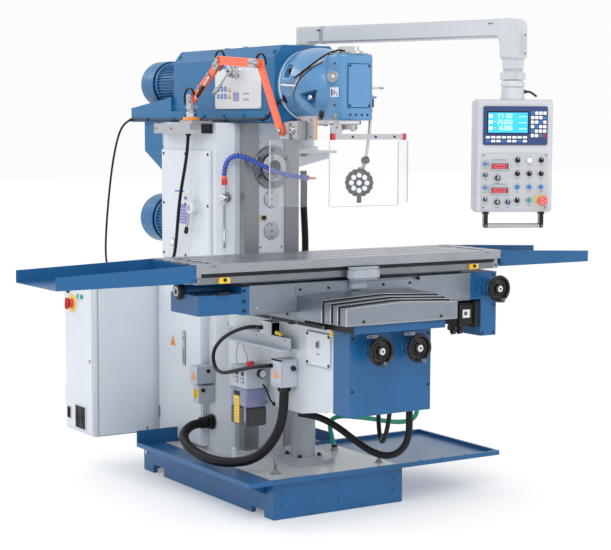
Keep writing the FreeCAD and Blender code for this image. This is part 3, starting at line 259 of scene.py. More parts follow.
TANK = finish("smoked oil tank", (0.19, 0.21, 0.34), 0.14, mottle=0.15, mottle_scale=14, grain=60,
              grain_depth=0.04, coat=0.15, specular=0.35)
BASE_DECK = finish("pale deck paint", (0.50, 0.52, 0.54), 0.40, grain=300, grain_depth=0.08,
                   coat=0.2)
BRASS = finish("valve brass", (0.42, 0.24, 0.10), 0.30, 0.9, mottle=0.1, grain=300, grain_depth=0.01)
TANK_OIL = finish("oil in tank", (0.022, 0.022, 0.032), 0.14, mottle=0.2, mottle_scale=20, coat=0.1,
                  specular=0.3)


def clear_sheet(name, tint, strength):
    """Polycarbonate: mostly see-through, with a clear gloss."""
    material, nodes, links = node_material(name)
    shader = nodes["Principled BSDF"]
    preset(shader, {"Roughness": 0.06, "Specular IOR Level": 0.5})
    space = texture_space(nodes, links)
    haze = noise(nodes, links, space, 6.0, 3.0)
    links.new(mixed(nodes, links, haze, tint, shade(tint, 0.96)), shader.inputs["Base Color"])
    edge = nodes.new("ShaderNodeLayerWeight")
    edge.inputs["Blend"].default_value = 0.25
    links.new(spread(nodes, links, edge.outputs["Facing"], strength, 0.45, 0.3, 1.0), shader.inputs["Alpha"])
    return material


CLEAR = clear_sheet("clear guard sheet", (0.86, 0.90, 0.93), 0.07)


# ---------------------------------------------------------------- mesh building

def ortho(direction):
    """Two unit vectors across a direction."""
    along = Vector(direction).normalized()
    aside = along.cross(Vector(UP) if abs(along.z) < 0.9 else Vector(RIGHT)).normalized()
    return along, aside, along.cross(aside).normalized()


def bridge(part, rings):
    """Join neighbouring rings of vertices with faces; a ring of one vertex is a point on the axis."""
    for first, second in zip(rings, rings[1:]):
        sides = max(len(first), len(second))
        if sides == 1:
            continue
        for k in range(sides):
            n = (k + 1) % sides
            if len(first) == 1:
                part.faces.new((first[0], second[k], second[n]))
            elif len(second) == 1:
                part.faces.new((first[k], first[n], second[0]))
            else:
                part.faces.new((first[k], first[n], second[n], second[k]))


BEVEL_FROM = math.radians(25)       # edges that bend more than this get the bevel of their part
SHARP_FROM = math.radians(32)       # the same for sharp shading, and for the bevels of CAD nodes


class Sculpt:
    """One visible piece gathered from bevelled parts, each with its own material. Sizes in millimetres."""

    def __init__(self, name):
        self.name = name
        self.whole = bmesh.new()
        self.finishes = []
        self.place = Matrix.Identity(4)

    def take(self, part, material):
        """Add a part's faces with their finish, moved to the sculpt's place."""
        if material not in self.finishes:
            self.finishes.append(material)
        index = self.finishes.index(material)
        bmesh.ops.recalc_face_normals(part, faces=part.faces)
        for face in part.faces:
            face.material_index = index
            face.smooth = True
        part.transform(self.place)
        lump = bpy.data.meshes.new("lump")
        part.to_mesh(lump)
        part.free()
        self.whole.from_mesh(lump)
        bpy.data.meshes.remove(lump)
        return self

    def prism(self, outline, axis, start, end, material, bevel=1.5, segments=2):
        """An outline across an axis, extruded: X takes (y, z), Y takes (x, z), Z takes (x, y)."""
        part = bmesh.new()
        lift = {"X": lambda a, b, c: (c, a, b), "Y": lambda a, b, c: (a, c, b), "Z": lambda a, b,
                c: (a, b, c)}[axis]
        near = [part.verts.new(lift(a, b, start)) for a, b in outline]
        far = [part.verts.new(lift(a, b, end)) for a, b in outline]
        count = len(outline)
        part.faces.new(near)
        part.faces.new(far)
        for i in range(count):
            part.faces.new((near[i], near[(i + 1) % count], far[(i + 1) % count], far[i]))
        if bevel > 0:
            bmesh.ops.recalc_face_normals(part, faces=part.faces)
            edges = [e for e in part.edges if len(e.link_faces) == 2 and e.calc_face_angle(0) > BEVEL_FROM]
            bmesh.ops.bevel(part, geom=edges, offset=bevel, segments=segments, affect="EDGES",
                            clamp_overlap=True)
        return self.take(part, material)

    def box(self, x, y, z, material, bevel=1.5, segments=2):
        return self.prism([(x[0], y[0]), (x[1], y[0]), (x[1], y[1]), (x[0], y[1])], "Z", z[0], z[1], material,
                          bevel, segments)

    def lathe(self, profile, origin, direction, material, sides=40, close=True):
        """Spin (along, radius) pairs about a line; closes the ends on the axis when asked."""
        part = bmesh.new()
        along, aside, third = ortho(direction)
        base = Vector(origin)
        rings = []
        for distance, radius in profile:
            if radius < 1e-6:
                rings.append([part.verts.new(base + along * distance)])
                continue
            middle = base + along * distance
            rings.append([part.verts.new(middle + (aside * math.cos(a) + third * math.sin(a)) * radius)
                          for a in (2 * math.pi * k / sides for k in range(sides))])
        bridge(part, rings)
        if close:
            for ends in (rings[0], rings[-1]):
                if len(ends) > 1:
                    part.faces.new(ends)
        return self.take(part, material)

    def rod(self, start, end, radius, material, bevel=1.0, sides=32):
        """A round bar between two points with softened rims."""
        start, end = Vector(start), Vector(end)
        length = (end - start).length
        bevel = min(bevel, radius * 0.45, length * 0.45)
        profile = [(0, radius - bevel), (bevel * 0.3, radius - bevel * 0.3), (bevel, radius),
                   (length - bevel, radius),
                   (length - bevel * 0.3, radius - bevel * 0.3), (length, radius - bevel)]
        return self.lathe(profile, start, end - start, material, sides)

    def ball(self, centre, radius, material):
        """A sphere of 28 sides."""
        half = 14
        profile = [(-radius * math.cos(math.pi * k / half), radius * math.sin(math.pi * k / half))
                   for k in range(half + 1)]
        profile[0], profile[-1] = (-radius, 0), (radius, 0)
        return self.lathe(profile, centre, UP, material, 2 * half)

    def tube(self, points, radius, material, sides=16, smooth=True):
        """A round tube along points, which a Catmull-Rom curve rounds when smooth is set."""
        line = smooth_line([Vector(p) for p in points]) if smooth else [Vector(p) for p in points]
        return self.take(swept(line, lambda k: radius, sides), material)

    def cap_screw(self, centre, direction, radius, material, height):
        """A socket-head screw standing on a face: a chamfered head with a six-sided recess."""
        along = Vector(direction).normalized()
        top = Vector(centre) + along * height
        self.lathe([(0, radius), (height * 0.85, radius), (height, radius * 0.88), (height, radius * 0.5)],
                   centre, along,
                   material, 20, close=False)
        self.lathe([(0, radius * 0.52), (-height * 0.6, radius * 0.52), (-height * 0.6, 0)], top, along,
                   BLACK_BOLT, 6, close=False)

    def screws(self, xs, ys, zs, direction, radius, material, height):
        """Socket-head screws at every combination of places; each axis takes one value or several."""
        places = [axis if isinstance(axis, tuple) else (axis,) for axis in (xs, ys, zs)]
        for centre in itertools.product(*places):
            self.cap_screw(centre, direction, radius, material, height)

    def hex_nut(self, centre, direction, radius, material, height, stud=0):
        """A six-sided nut with a softened top, and the end of its stud when asked."""
        self.lathe([(0, radius), (height * 0.85, radius), (height, radius * 0.9)], centre, direction,
                   material, 6)
        if stud:
            self.rod(Vector(centre), Vector(centre) + Vector(direction).normalized() * (height + stud),
                     radius * 0.5, material, 0.8, 16)

    def done(self, body, replaces=()):
        """Finish the piece, hang it on its body, and hide the CAD nodes that it stands for."""
        mesh = bpy.data.meshes.new(self.name)
        self.whole.transform(Matrix.Scale(MM, 4))
        self.whole.to_mesh(mesh)
        self.whole.free()
        for material in self.finishes:
            mesh.materials.append(material)
        mesh.set_sharp_from_angle(angle=SHARP_FROM)
        piece = placed(self.name, mesh)
        normals = piece.modifiers.new("even shading", "WEIGHTED_NORMAL")
        normals.keep_sharp = True
        normals.weight = 70
        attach(piece, body)
        if replaces:
            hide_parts(*replaces)


def smooth_line(points):
    """Points along a Catmull-Rom curve through the given ones, eight to a span."""
    steps = 8
    padded = [points[0] * 2 - points[1], *points, points[-1] * 2 - points[-2]]
    line = []
    for a, b, c, d in zip(padded, padded[1:], padded[2:], padded[3:]):
        for k in range(steps):
            t = k / steps
            square, cube = 2 * a - 5 * b + 4 * c - d, 3 * b - a - 3 * c + d
            line.append(0.5 * ((2 * b) + (c - a) * t + square * t * t + cube * t ** 3))
    line.append(points[-1])
    return line


def swept(line, radius_at, sides=16):
    """A closed round tube along close points; the radius may change point by point."""
    part = bmesh.new()
    tangent = (line[1] - line[0]).normalized()
    aside = ortho(tangent)[1]
    rings = []
    for k, point in enumerate(line):
        ahead = line[min(k + 1, len(line) - 1)] - line[max(k - 1, 0)]
        if ahead.length > 1e-9:
            tangent = ahead.normalized()
        aside = (aside - tangent * aside.dot(tangent)).normalized()
        third = tangent.cross(aside)
        radius = radius_at(k)
        rings.append([part.verts.new(point + (aside * math.cos(a) + third * math.sin(a)) * radius)
                      for a in (2 * math.pi * s / sides for s in range(sides))])
    bridge(part, rings)
    part.faces.new(rings[0])
    part.faces.new(rings[-1])
    return part


def soften(name, material, width):
    """Give a CAD node its finish, and bevels on its edges through modifiers only."""
    node = NODES[name]
    node.data.materials.clear()
    node.data.materials.append(material)
    weld = node.modifiers.new("weld", "WELD")
    weld.merge_threshold = 0.00002
    flat = node.modifiers.new("flat faces", "DECIMATE")
    flat.decimate_type = "DISSOLVE"
    flat.angle_limit = math.radians(1.0)
    bevel = node.modifiers.new("edges", "BEVEL")
    bevel.width = width * MM
    bevel.segments = 2
    bevel.limit_method = "ANGLE"
    bevel.angle_limit = SHARP_FROM
    bevel.harden_normals = False
    normals = node.modifiers.new("even shading", "WEIGHTED_NORMAL")
    normals.keep_sharp = False
    normals.weight = 70
    for polygon in node.data.polygons:
        polygon.use_smooth = True


# ---------------------------------------------------------------- camera, light and floor

def set_camera():
    """The view at rest: a long lens, low and to the machine's left."""
    yaw, pitch, roll = math.radians(32.6), math.radians(5.36), math.radians(-0.215)
    forward = Vector((math.sin(yaw) * math.cos(pitch), math.cos(yaw) * math.cos(pitch), -math.sin(pitch)))
    level = Vector((math.cos(yaw), -math.sin(yaw), 0))
    upright = level.cross(forward)
    right = level * math.cos(roll) - upright * math.sin(roll)
    up = upright * math.cos(roll) + level * math.sin(roll)
    camera = placed("camera", bpy.data.cameras.new("camera"))
    rows = Matrix((right, up, -forward)).transposed().to_4x4()
    eye = Vector((-3.957, -6.484, 1.730))
    camera.matrix_world = Matrix.Translation(eye) @ rows
    camera.data.sensor_width = 36
    camera.data.lens = 94.86
    camera.data.clip_end = 100
    bpy.context.scene.camera = camera


def area_light(name, place, target, size, power, colour=(1, 1, 1)):
    lamp = bpy.data.lights.new(name, "AREA")
    lamp.shape = "RECTANGLE"
    lamp.size, lamp.size_y = size
    lamp.energy = power
    lamp.color = colour
    holder = placed(name, lamp)
    holder.location = place
    holder.rotation_mode = "QUATERNION"
    holder.rotation_quaternion = (Vector(target) - Vector(place)).to_track_quat("-Z", "Y")


def set_studio():
    world = bpy.data.worlds.new("studio")
    bpy.context.scene.world = world
    world.use_nodes = True
    nodes, links = world.node_tree.nodes, world.node_tree.links
    sky = nodes["Background"]
    coordinates = nodes.new("ShaderNodeTexCoord")
    split = nodes.new("ShaderNodeSeparateXYZ")
    links.new(coordinates.outputs["Generated"], split.inputs[0])
    ramp = nodes.new("ShaderNodeValToRGB")
    stops = ramp.color_ramp.elements
    stops[0].position, stops[0].color = 0.30, (0.97, 0.97, 0.97, 1)
    stops[1].position, stops[1].color = 0.80, (0.98, 0.98, 0.98, 1)
    links.new(spread(nodes, links, split.outputs["Z"], 0, 1, -1, 1), ramp.inputs["Fac"])
    links.new(ramp.outputs["Color"], sky.inputs["Color"])
    sky.inputs["Strength"].default_value = 1.0
    area_light("key", (-3.4, -4.6, 4.6), (0, -0.2, 1.1), (2.2, 2.2), 120)
    area_light("fill", (4.2, -4.4, 2.6), (0, -0.3, 1.1), (3.0, 2.4), 20, (0.97, 0.98, 1))
    area_light("back", (-2.6, 4.2, 3.8), (0, 0.2, 1.4), (3.0, 1.6), 60)
    bpy.context.scene.view_settings.view_transform = "Standard"
    bpy.context.scene.view_settings.look = "None"
    floor = bmesh.new()
    bmesh.ops.create_grid(floor, x_segments=2, y_segments=2, size=40)
    mesh = bpy.data.meshes.new("floor")
    floor.to_mesh(mesh)
    floor.free()
    ground = placed("floor", mesh)
    ground.location.z = -0.0005
    backdrop = finish("studio floor", (0.78, 0.78, 0.78), 0.8, mottle=0.004)
    preset(backdrop.node_tree.nodes["Principled BSDF"],
           {"Emission Color": (1, 1, 1, 1), "Emission Strength": 0.24})
    mesh.materials.append(backdrop)


set_camera()
set_studio()


# ---------------------------------------------------------------- hoses and cables, on the CAD tubes' routes

ROUTES = {
    "column_conduit": [(335, 250, 1499), (338, 248, 1420), (334, 246, 1330), (336, 238, 1230),
                       (340, 236, 1120),
                       (338, 244, 1010), (330, 262, 900), (310, 290, 800), (282, 318, 716), (248, 334, 664)],
    "ram_cable": [(-190, 1080, 1752), (-218, 1102, 1738), (-244, 1120, 1690), (-262, 1132, 1612),
                  (-278, 1138, 1520),
                  (-292, 1138, 1425), (-306, 1132, 1330), (-322, 1118, 1238), (-342, 1090, 1150), (-366, 1046,
                                                                                                   1072),
                  (-390, 985, 1018), (-408, 926, 996), (-416, 892, 976)],
    "guard_cable": [(-268, 330, 1681), (-270, 334, 1610), (-276, 344, 1534), (-284, 360, 1452),
                    (-288, 380, 1368),
                    (-286, 402, 1284), (-280, 426, 1200), (-276, 450, 1118), (-280, 470, 1060), (-292, 482,
                                                                                                 1036)],
    "knee_conduit": [(-257, -528, 555), (-258, -526, 470), (-270, -512, 390), (-300, -480, 310),
                     (-352, -430, 246),
                     (-412, -350, 222), (-450, -240, 216), (-468, -120, 228), (-462, 0, 250), (-430, 92, 280),
                     (-368, 144, 302), (-318, 158, 310), (-263, 160, 311)],
    "knee_hose_loop": [(-271, -345, 822), (-292, -320, 826), (-320, -262, 812), (-338, -180, 780),
                       (-342, -100, 736),
                       (-338, -40, 688), (-336, -30, 640), (-338, -60, 600), (-342, -130, 592), (-348, -220,
                                                                                                 612),
                       (-350, -310, 634), (-346, -400, 654), (-332, -458, 666), (-309, -494, 671)],
    "under_knee_hose": [(-150, -480, 442), (-95, -500, 432), (-40, -528, 410), (12, -566, 372),
                        (58, -612, 324),
                        (100, -664, 282), (138, -722, 260), (166, -780, 272), (180, -830, 314), (178, -864,
                                                                                                 370),
                        (170, -879, 434), (167, -880, 500)],
    "under_knee_loop": [(45, -905, 501), (42, -900, 450), (45, -880, 400), (55, -850, 362), (72, -810, 345),
                        (92, -768, 350), (110, -735, 378), (122, -712, 425), (126, -704, 479)],
    "coolant_hose": [(262, -150, 184), (250, -146, 240), (232, -152, 292), (228, -176, 334), (250, -222, 352),
                     (300, -272, 350), (356, -326, 345), (412, -374, 334), (464, -418, 332), (498, -456, 346),
                     (504, -486, 384), (484, -506, 426), (440, -516, 462), (384, -518, 490), (324, -517, 508),
                     (268, -515, 516), (213, -514, 518)],
}


def route_curve(name, route):
    """One smooth line with the route's points as its control points."""
    data = bpy.data.curves.new(name, "CURVE")
    data.dimensions = "3D"
    spline = data.splines.new("NURBS")
    spline.points.add(len(route) - 1)
    for point, place in zip(spline.points, route):
        point.co = (*(c * MM for c in place), 1)
    spline.order_u = 3
    spline.use_endpoint_u = True
    spline.resolution_u = 12
    return placed(name, data)


def centreline(route):
    """The route's smooth line as points, in metres."""
    curve = route_curve("guide", route)
    line = bpy.data.meshes.new_from_object(curve)
    points = [vertex.co.copy() for vertex in line.vertices]
    bpy.data.objects.remove(curve)
    return points


def evenly(points, step):
    """Points a fixed step apart along a line, its ends kept, and the line's length."""
    lengths = [0.0]
    for a, b in zip(points, points[1:]):
        lengths.append(lengths[-1] + (b - a).length)
    count = max(4, round(lengths[-1] / step))
    spaced, k = [], 0
    for i in range(count + 1):
        at = lengths[-1] * i / count
        while k < len(points) - 2 and lengths[k + 1] < at:
            k += 1
        share = (at - lengths[k]) / max(lengths[k + 1] - lengths[k], 1e-9)
        spaced.append(points[k].lerp(points[k + 1], min(1, share)))
    return spaced, lengths[-1]


def hose(name, route, radius, material, pitch=0.0, ridge=0.0, body="frame", blend=None):
    """A hose on its route, with rings every pitch mm when asked; given blend, it stays in world place, hung
    on no body.
    """
    line, length = evenly(centreline(route), (pitch / 4 if pitch else min(6.0, radius)) * MM)
    if pitch:
        part = swept(line, lambda k: (radius - ridge * (0, 0.5, 1, 0.5)[k % 4]) * MM, 24)
    else:
        part = swept(line, lambda k: radius * MM, 20)
    bmesh.ops.recalc_face_normals(part, faces=part.faces)
    for face in part.faces:
        face.smooth = True
    mesh = bpy.data.meshes.new(name)
    part.to_mesh(mesh)
    part.free()
    mesh.materials.append(material)
    mesh.set_sharp_from_angle(angle=math.radians(60))
    piece = placed(name, mesh)
    if blend:
        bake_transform(piece)
    else:
        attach(piece, body)
    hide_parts(name.replace("_skin", ""))
    print(f"{name}: {length:.3f} m")


hose("column_conduit_skin", ROUTES["column_conduit"], 17, BLACK_RUBBER, 0, 0, "frame")
hose("ram_cable_skin", ROUTES["ram_cable"], 5.5, BLACK_RUBBER,
     blend=("frame", "ram", (0, 0.99, 1.0), (0, 1.09, 1.60)))
hose("guard_cable_skin", ROUTES["guard_cable"], 8, BLACK_RUBBER, 0, 0, "frame")
hose("knee_conduit_skin", ROUTES["knee_conduit"], 22, BLACK_RUBBER, 8.0, 1.6,
     blend=("frame", "knee", (-0.30, -0.480, 0.235), (-0.257, -0.528, 0.545)))
hose("knee_hose_loop_skin", ROUTES["knee_hose_loop"], 8.5, BLACK_RUBBER, 0, 0, "knee")
UNDER_KNEE_SPAN = ((0, 0, 0.20), (0, 0, 0.47))
hose("under_knee_hose_skin", ROUTES["under_knee_hose"], 16, BLACK_RUBBER, 9.0, 1.0,
     blend=("frame", "knee", *UNDER_KNEE_SPAN))
hose("under_knee_loop_skin", ROUTES["under_knee_loop"], 10, BLACK_RUBBER,
     blend=("frame", "knee", *UNDER_KNEE_SPAN))
hose("coolant_hose_skin", ROUTES["coolant_hose"], 11, GREEN_HOSE, blend=("frame", "knee", (0, 0, 0.19),
                                                                         (0, 0, 0.50)))


# ---------------------------------------------------------------- CAD nodes whose shape stays

for node, material, width in (
        ("base_casting", BLUE, 5), ("drip_tray", BLUE, 2), ("anchor_bolts", STEEL, 1), ("column_casting",
                                                                                        WHITE_CAST, 4),
        ("column_covers", WHITE_SHEET, 2),
        ("front_flanges", GROUND, 1.5), ("horizontal_spindle", STEEL, 1.2),
        ("electrical_cabinet", WHITE_SHEET, 3), ("cabinet_door", WHITE_SHEET, 3),
        ("pedestal", PEDESTAL_GREY, 2),
        ("pendant_post", WHITE_SHEET_SHADED, 2), ("guard_bracket", ALUMINIUM, 2), ("guard_pole", ALUMINIUM, 1),
        ("guard_link_lower", ORANGE, 1.5), ("guard_link_middle", ORANGE, 1.5), ("guard_link_upper", ORANGE,
                                                                                1.5),
        ("guard_panels", CLEAR, 0.5), ("knee_casting", WHITE_CAST, 4),
        ("knee_front_cover", BLUE, 4),
        ("elevating_screw", STEEL, 1),
        ("way_cover_front", STAINLESS, 1.2), ("way_cover_second", STAINLESS, 1.2),
        ("way_cover_third", STAINLESS, 1.2), ("way_cover_rear", STAINLESS, 1.2), ("saddle_casting",
                                                                                  SADDLE_GREY, 3),
        ("table_screw_housings", BLUE, 3),
        ("table", TABLE_TOP, 1.0), ("table_trays", BLUE, 0.8),
        ("ram_casting", BLUE_RAM, 5),
        ("vertical_spindle", STEEL, 1)):
    soften(node, material, width)


# ---------------------------------------------------------------- shared fittings

CAST_VOXEL = 4.0 * MM       # grain of the merged shells
CAST_SMOOTHING = 4          # rounds of smoothing after the merge


def evaluated(piece):
    """Freeze a piece's modifiers into its mesh."""
    graph = bpy.context.evaluated_depsgraph_get()
    mesh = bpy.data.meshes.new_from_object(piece.evaluated_get(graph))
    piece.modifiers.clear()
    piece.data = mesh


def loose(sculpt):
    """A sculpt as an unparented tool object for a boolean."""
    mesh = bpy.data.meshes.new(sculpt.name)
    sculpt.whole.transform(Matrix.Scale(MM, 4))
    sculpt.whole.to_mesh(mesh)
    sculpt.whole.free()
    return placed(sculpt.name, mesh)


def casting(solid, inside, pockets, body, node):
    """A cast body: shells merged, kept inside one shape, pocketed, and smoothed at the corners."""
    piece, window, holes = loose(solid), loose(inside), loose(pockets)
    for kind, target in (("INTERSECT", window), ("DIFFERENCE", holes)):
        merge = piece.modifiers.new("merge", "REMESH")
        merge.mode = "VOXEL"
        merge.voxel_size = CAST_VOXEL
        carve = piece.modifiers.new("carve", "BOOLEAN")
        carve.operation = kind
        carve.solver = "EXACT"
        carve.object = target
    last = piece.modifiers.new("surface", "REMESH")
    last.mode = "VOXEL"
    last.voxel_size = CAST_VOXEL
    last.use_smooth_shade = True
    relax = piece.modifiers.new("relax", "SMOOTH")
    relax.iterations = CAST_SMOOTHING
    relax.factor = 0.6
    evaluated(piece)
    piece.data.materials.clear()
    piece.data.materials.append(BLUE_CAST)
    for polygon in piece.data.polygons:
        polygon.material_index = 0
        polygon.use_smooth = True
    for tool in (window, holes):
        bpy.data.objects.remove(tool)
    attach(piece, body)
    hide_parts(node)


def graduated_ring(sculpt, centre, axis, radius, width, stop, count):
    """A scale on a round edge: short raised ticks, every fifth one longer."""
    along, aside, third = ortho(axis)
    for k in range(count + 1):
        angle = math.radians(stop * k / count)
        outward = aside * math.cos(angle) + third * math.sin(angle)
        reach = width * (0.8 if k % 5 == 0 else 0.5)
        foot = Vector(centre) + outward * (radius - 0.3)
        sculpt.rod(foot, foot + along * reach, 0.55, PRINT_DARK, 0.1, 6)


# ---------------------------------------------------------------- motors

def motor(node, height, radius, cowl_radius, body):
    """Induction motor: ribbed housing, bearing shields, fan cowl with a grille, and a terminal box."""
    piece = Sculpt(node + "_skin")
    axis = BACK
    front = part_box(node)[0][1] / MM
    centre = Vector((0, front, height))
    shell = radius - 10
    piece.lathe([(0, radius + 4), (3, radius + 8), (15, radius + 8), (18, radius + 5), (18, shell),
                 (340, shell), (340, 30)],
                centre, axis, BLUE_RAM, 64)
    for end in (24, 300):
        piece.lathe([(end, shell), (end, radius - 1), (end + 3, radius + 1), (end + 17, radius + 1),
                     (end + 20, radius - 1),
                     (end + 20, shell)], centre, axis, BLUE_RAM, 64, close=False)
    ribs = 44
    for k in range(ribs):
        turn = 2 * math.pi * k / ribs
        piece.place = Matrix.Translation(centre) @ Matrix.Rotation(turn, 4, "Y")
        piece.box((-1.9, 1.9), (40, 302), (shell - 3, radius), BLUE_RAM, 1.1, 1)
    piece.place = Matrix.Identity(4)
    piece.lathe([(330, cowl_radius - 4), (333, cowl_radius), (452, cowl_radius), (470, cowl_radius - 5),
                 (481, cowl_radius - 18),
                 (485, cowl_radius - 34), (485, 76)], centre, axis, BLUE_RAM, 72, close=False)
    piece.lathe([(332, shell), (330, cowl_radius - 4)], centre, axis, BLACK_MATTE, 72, close=False)
    piece.lathe([(479, 84), (479, 0)], centre, axis, BLACK_MATTE, 48, close=False)
    for ring_radius in (22, 34, 46, 58, 70):
        piece.lathe([(482, ring_radius - 2.2), (485, ring_radius - 1.6), (485, ring_radius + 1.6),
                     (482, ring_radius + 2.2)],
                    centre, axis, BLUE_RAM, 48, close=False)
    piece.rod(centre + Vector((0, 478, 0)), centre + Vector((0, 484.6, 0)), 14, BLUE_RAM)
    grille = centre + Vector((0, 482, 0))
    for k in range(6):
        turn = math.pi * k / 3 + 0.3
        spoke = Vector((math.cos(turn), 0, math.sin(turn)))
        piece.rod(grille + spoke * 10, grille + spoke * 82, 2.4, BLUE_RAM, 0.5, 10)
        piece.cap_screw(centre + Vector((0, 345, 0)) + spoke * (cowl_radius - 1), spoke, 4.5, STEEL, 3)
    top = height + radius + 24
    piece.box((20, 130), (front + 60, front + 190), (height + 60, top - 6), BLUE_RAM, 4)
    piece.box((17, 133), (front + 57, front + 193), (top - 8, top), BLUE_RAM, 3)
    for x, y in ((27, 67), (123, 67), (27, 183), (123, 183)):
        piece.cap_screw((x, front + y, top - 0.5), UP, 4, STEEL, 2.5)
    piece.rod((125, front + 125, height + 92), (146, front + 125, height + 92), 11, BLACK_PLASTIC, 2, 6)
    piece.done(body, (node,))


motor("main_motor", 1236, 118, 126, "frame")
motor("ram_motor", 1933, 110, 118, "ram")


# ---------------------------------------------------------------- ram: plate, lever, seams and bolts

def ram_details():
    """Blank plate with plain shapes, edge seams, lifting eyes and bolts."""
    piece = Sculpt("ram_details")
    face = -170
    piece.box((face - 3, face + 1), (-190, 238), (1797, 2018), PLATE, 2.5)
    piece.box((face - 3.6, face - 2), (64, 232), (1984, 2000), PRINT_BLUE, 0.4, 1)
    for row in (1892, 1858):
        for k in range(3):
            spot = Vector((face - 2.8, 206 - 34 * k, row))
            piece.lathe([(0, 13), (1.2, 13), (1.6, 12)], spot, LEFT, PRINT_BLUE, 28)
            piece.lathe([(1.5, 5), (2.0, 4.5), (2.0, 0)], spot, LEFT, PLATE, 6)
    for z in (1888, 1856):
        piece.prism([(86, z - 12), (112, z - 12), (99, z + 12)], "X", face - 4.2, face - 2.5, AMBER, 0.5, 1)
    piece.box((face - 3.8, face - 2), (12, 66), (1834, 1874), PRINT_VIOLET, 0.5, 1)
    for k in range(4):
        piece.box((face - 4.2, face - 3.4), (18, 60), (1840 + 8.5 * k, 1842 + 8.5 * k), PLATE, 0.2, 1)
    for k in range(3):
        for heights in ((1836, 1846), (1864, 1872)):
            piece.box((face - 3.6, face - 2.6), (-40 - 18 * k, -32 - 18 * k), heights, PRINT_DARK, 0.2, 1)
    piece.screws(face - 3, (-182, 230), (1805, 2010), LEFT, 4, STEEL, 2.4)
    rim = [(170, 2027), (126, 2083), (-126, 2083), (-170, 2027)]
    for along in (-292, 652):
        piece.prism([(x * 1.004, z + 0.6) for x, z in rim] + [(x * 0.97, z - 12) for x, z in reversed(rim)],
                    "Y",
                    along - 4, along + 4, BLUE_RAM, 1.5)
    for y in (-266, 632):
        for side in (-1, 1):
            piece.cap_screw((side * 150, y, 2053.5), (side * 0.786, 0, 0.618), 11, BLUE_RAM, 5)
    for side in (-1, 1):
        piece.box((side * 189, side * 184), (-292, 1098), (1741, 1746), BLUE_RAM, 1)
        piece.screws(side * 185, (-250, -60, 130, 320, 510), 1766, (side, 0, 0), 9, BLUE_RAM, 6)
    for y in (240, 420):
        piece.lathe([(0, 15), (12, 15), (16, 12), (16, 7)], (0, y, 2082.5), UP, STEEL, 28)
        arc = [(across, y, 2102 + up) for across, up in around(11, 19, -60, 330)]
        piece.tube([arc[-1], *reversed(arc)], 5, STEEL, 12, False)
    piece.box((-120, 120), (655, 664), (1800, 2060), BLUE_RAM, 3)
    piece.screws((-104, 104), 663.5, (1990, 2046), BACK, 7, BLACK_BOLT, 4)
    piece.done("ram")


def ram_edge_cable():
    """Cable clipped along the ram's lower left edge, from the head to the tail."""
    piece = Sculpt("ram_edge_cable")
    points = [(-150, -320, 1836), (-176, -300, 1800), (-193, -268, 1757), (-194, -180, 1750), (-194, 0, 1747),
              (-194, 200, 1749),
              (-194, 420, 1746), (-194, 640, 1748), (-193, 860, 1747), (-191, 1020, 1750), (-190, 1082, 1752)]
    piece.tube(points, 5, BLACK_RUBBER, 12)
    for y in (-230, 90, 330, 610, 900):
        piece.box((-201, -185), (y - 5, y + 5), (1741, 1755), BLACK_PLASTIC)
    piece.rod((-186, 1078, 1752), (-200, 1096, 1745), 8.5, BLACK_PLASTIC, 2, 6)
    piece.done("ram")


def range_lever():
    """Bright hub with a dial and a shift rod on the ram's side."""
    piece = Sculpt("ram_lever_skin")
    hub = Vector((-170.5, 30, 1972))
    out = LEFT
    piece.lathe([(0, 36), (4, 36), (6, 34), (12, 32), (24, 31), (34, 33), (39, 31), (40, 27)], hub, out,
                CHROME, 48)
    piece.lathe([(38, 25), (46, 25), (51, 22), (52, 18), (52, 0)], hub, out, STEEL, 48, close=False)
    graduated_ring(piece, hub + Vector((-38, 0, 0)), out, 25.3, 8, 345, 24)
    piece.rod(hub + Vector((-51, 0, 0)), hub + Vector((-56, 0, 0)), 5, BLACK_BOLT, 1, 6)
    start, end = Vector((-214, 44, 1962)), Vector((-226, 150, 1872))
    piece.rod(start, end, 6, CHROME, 2)
    piece.lathe([(0, 6), (6, 9), (60, 11), (76, 10), (82, 6), (84, 0)], start.lerp(end, 0.45), end - start,
                CHROME, 24)
    piece.done("range_lever", ("ram_lever",))


# ---------------------------------------------------------------- universal head

RAM_AXIS = 1903                 # height of the round joint at the ram's nose
JOINT = Vector((0, -473, RAM_AXIS))
FORWARD = Vector((0, -1, -1)).normalized()
QUILL = -628                    # depth of the upright spindle's axis


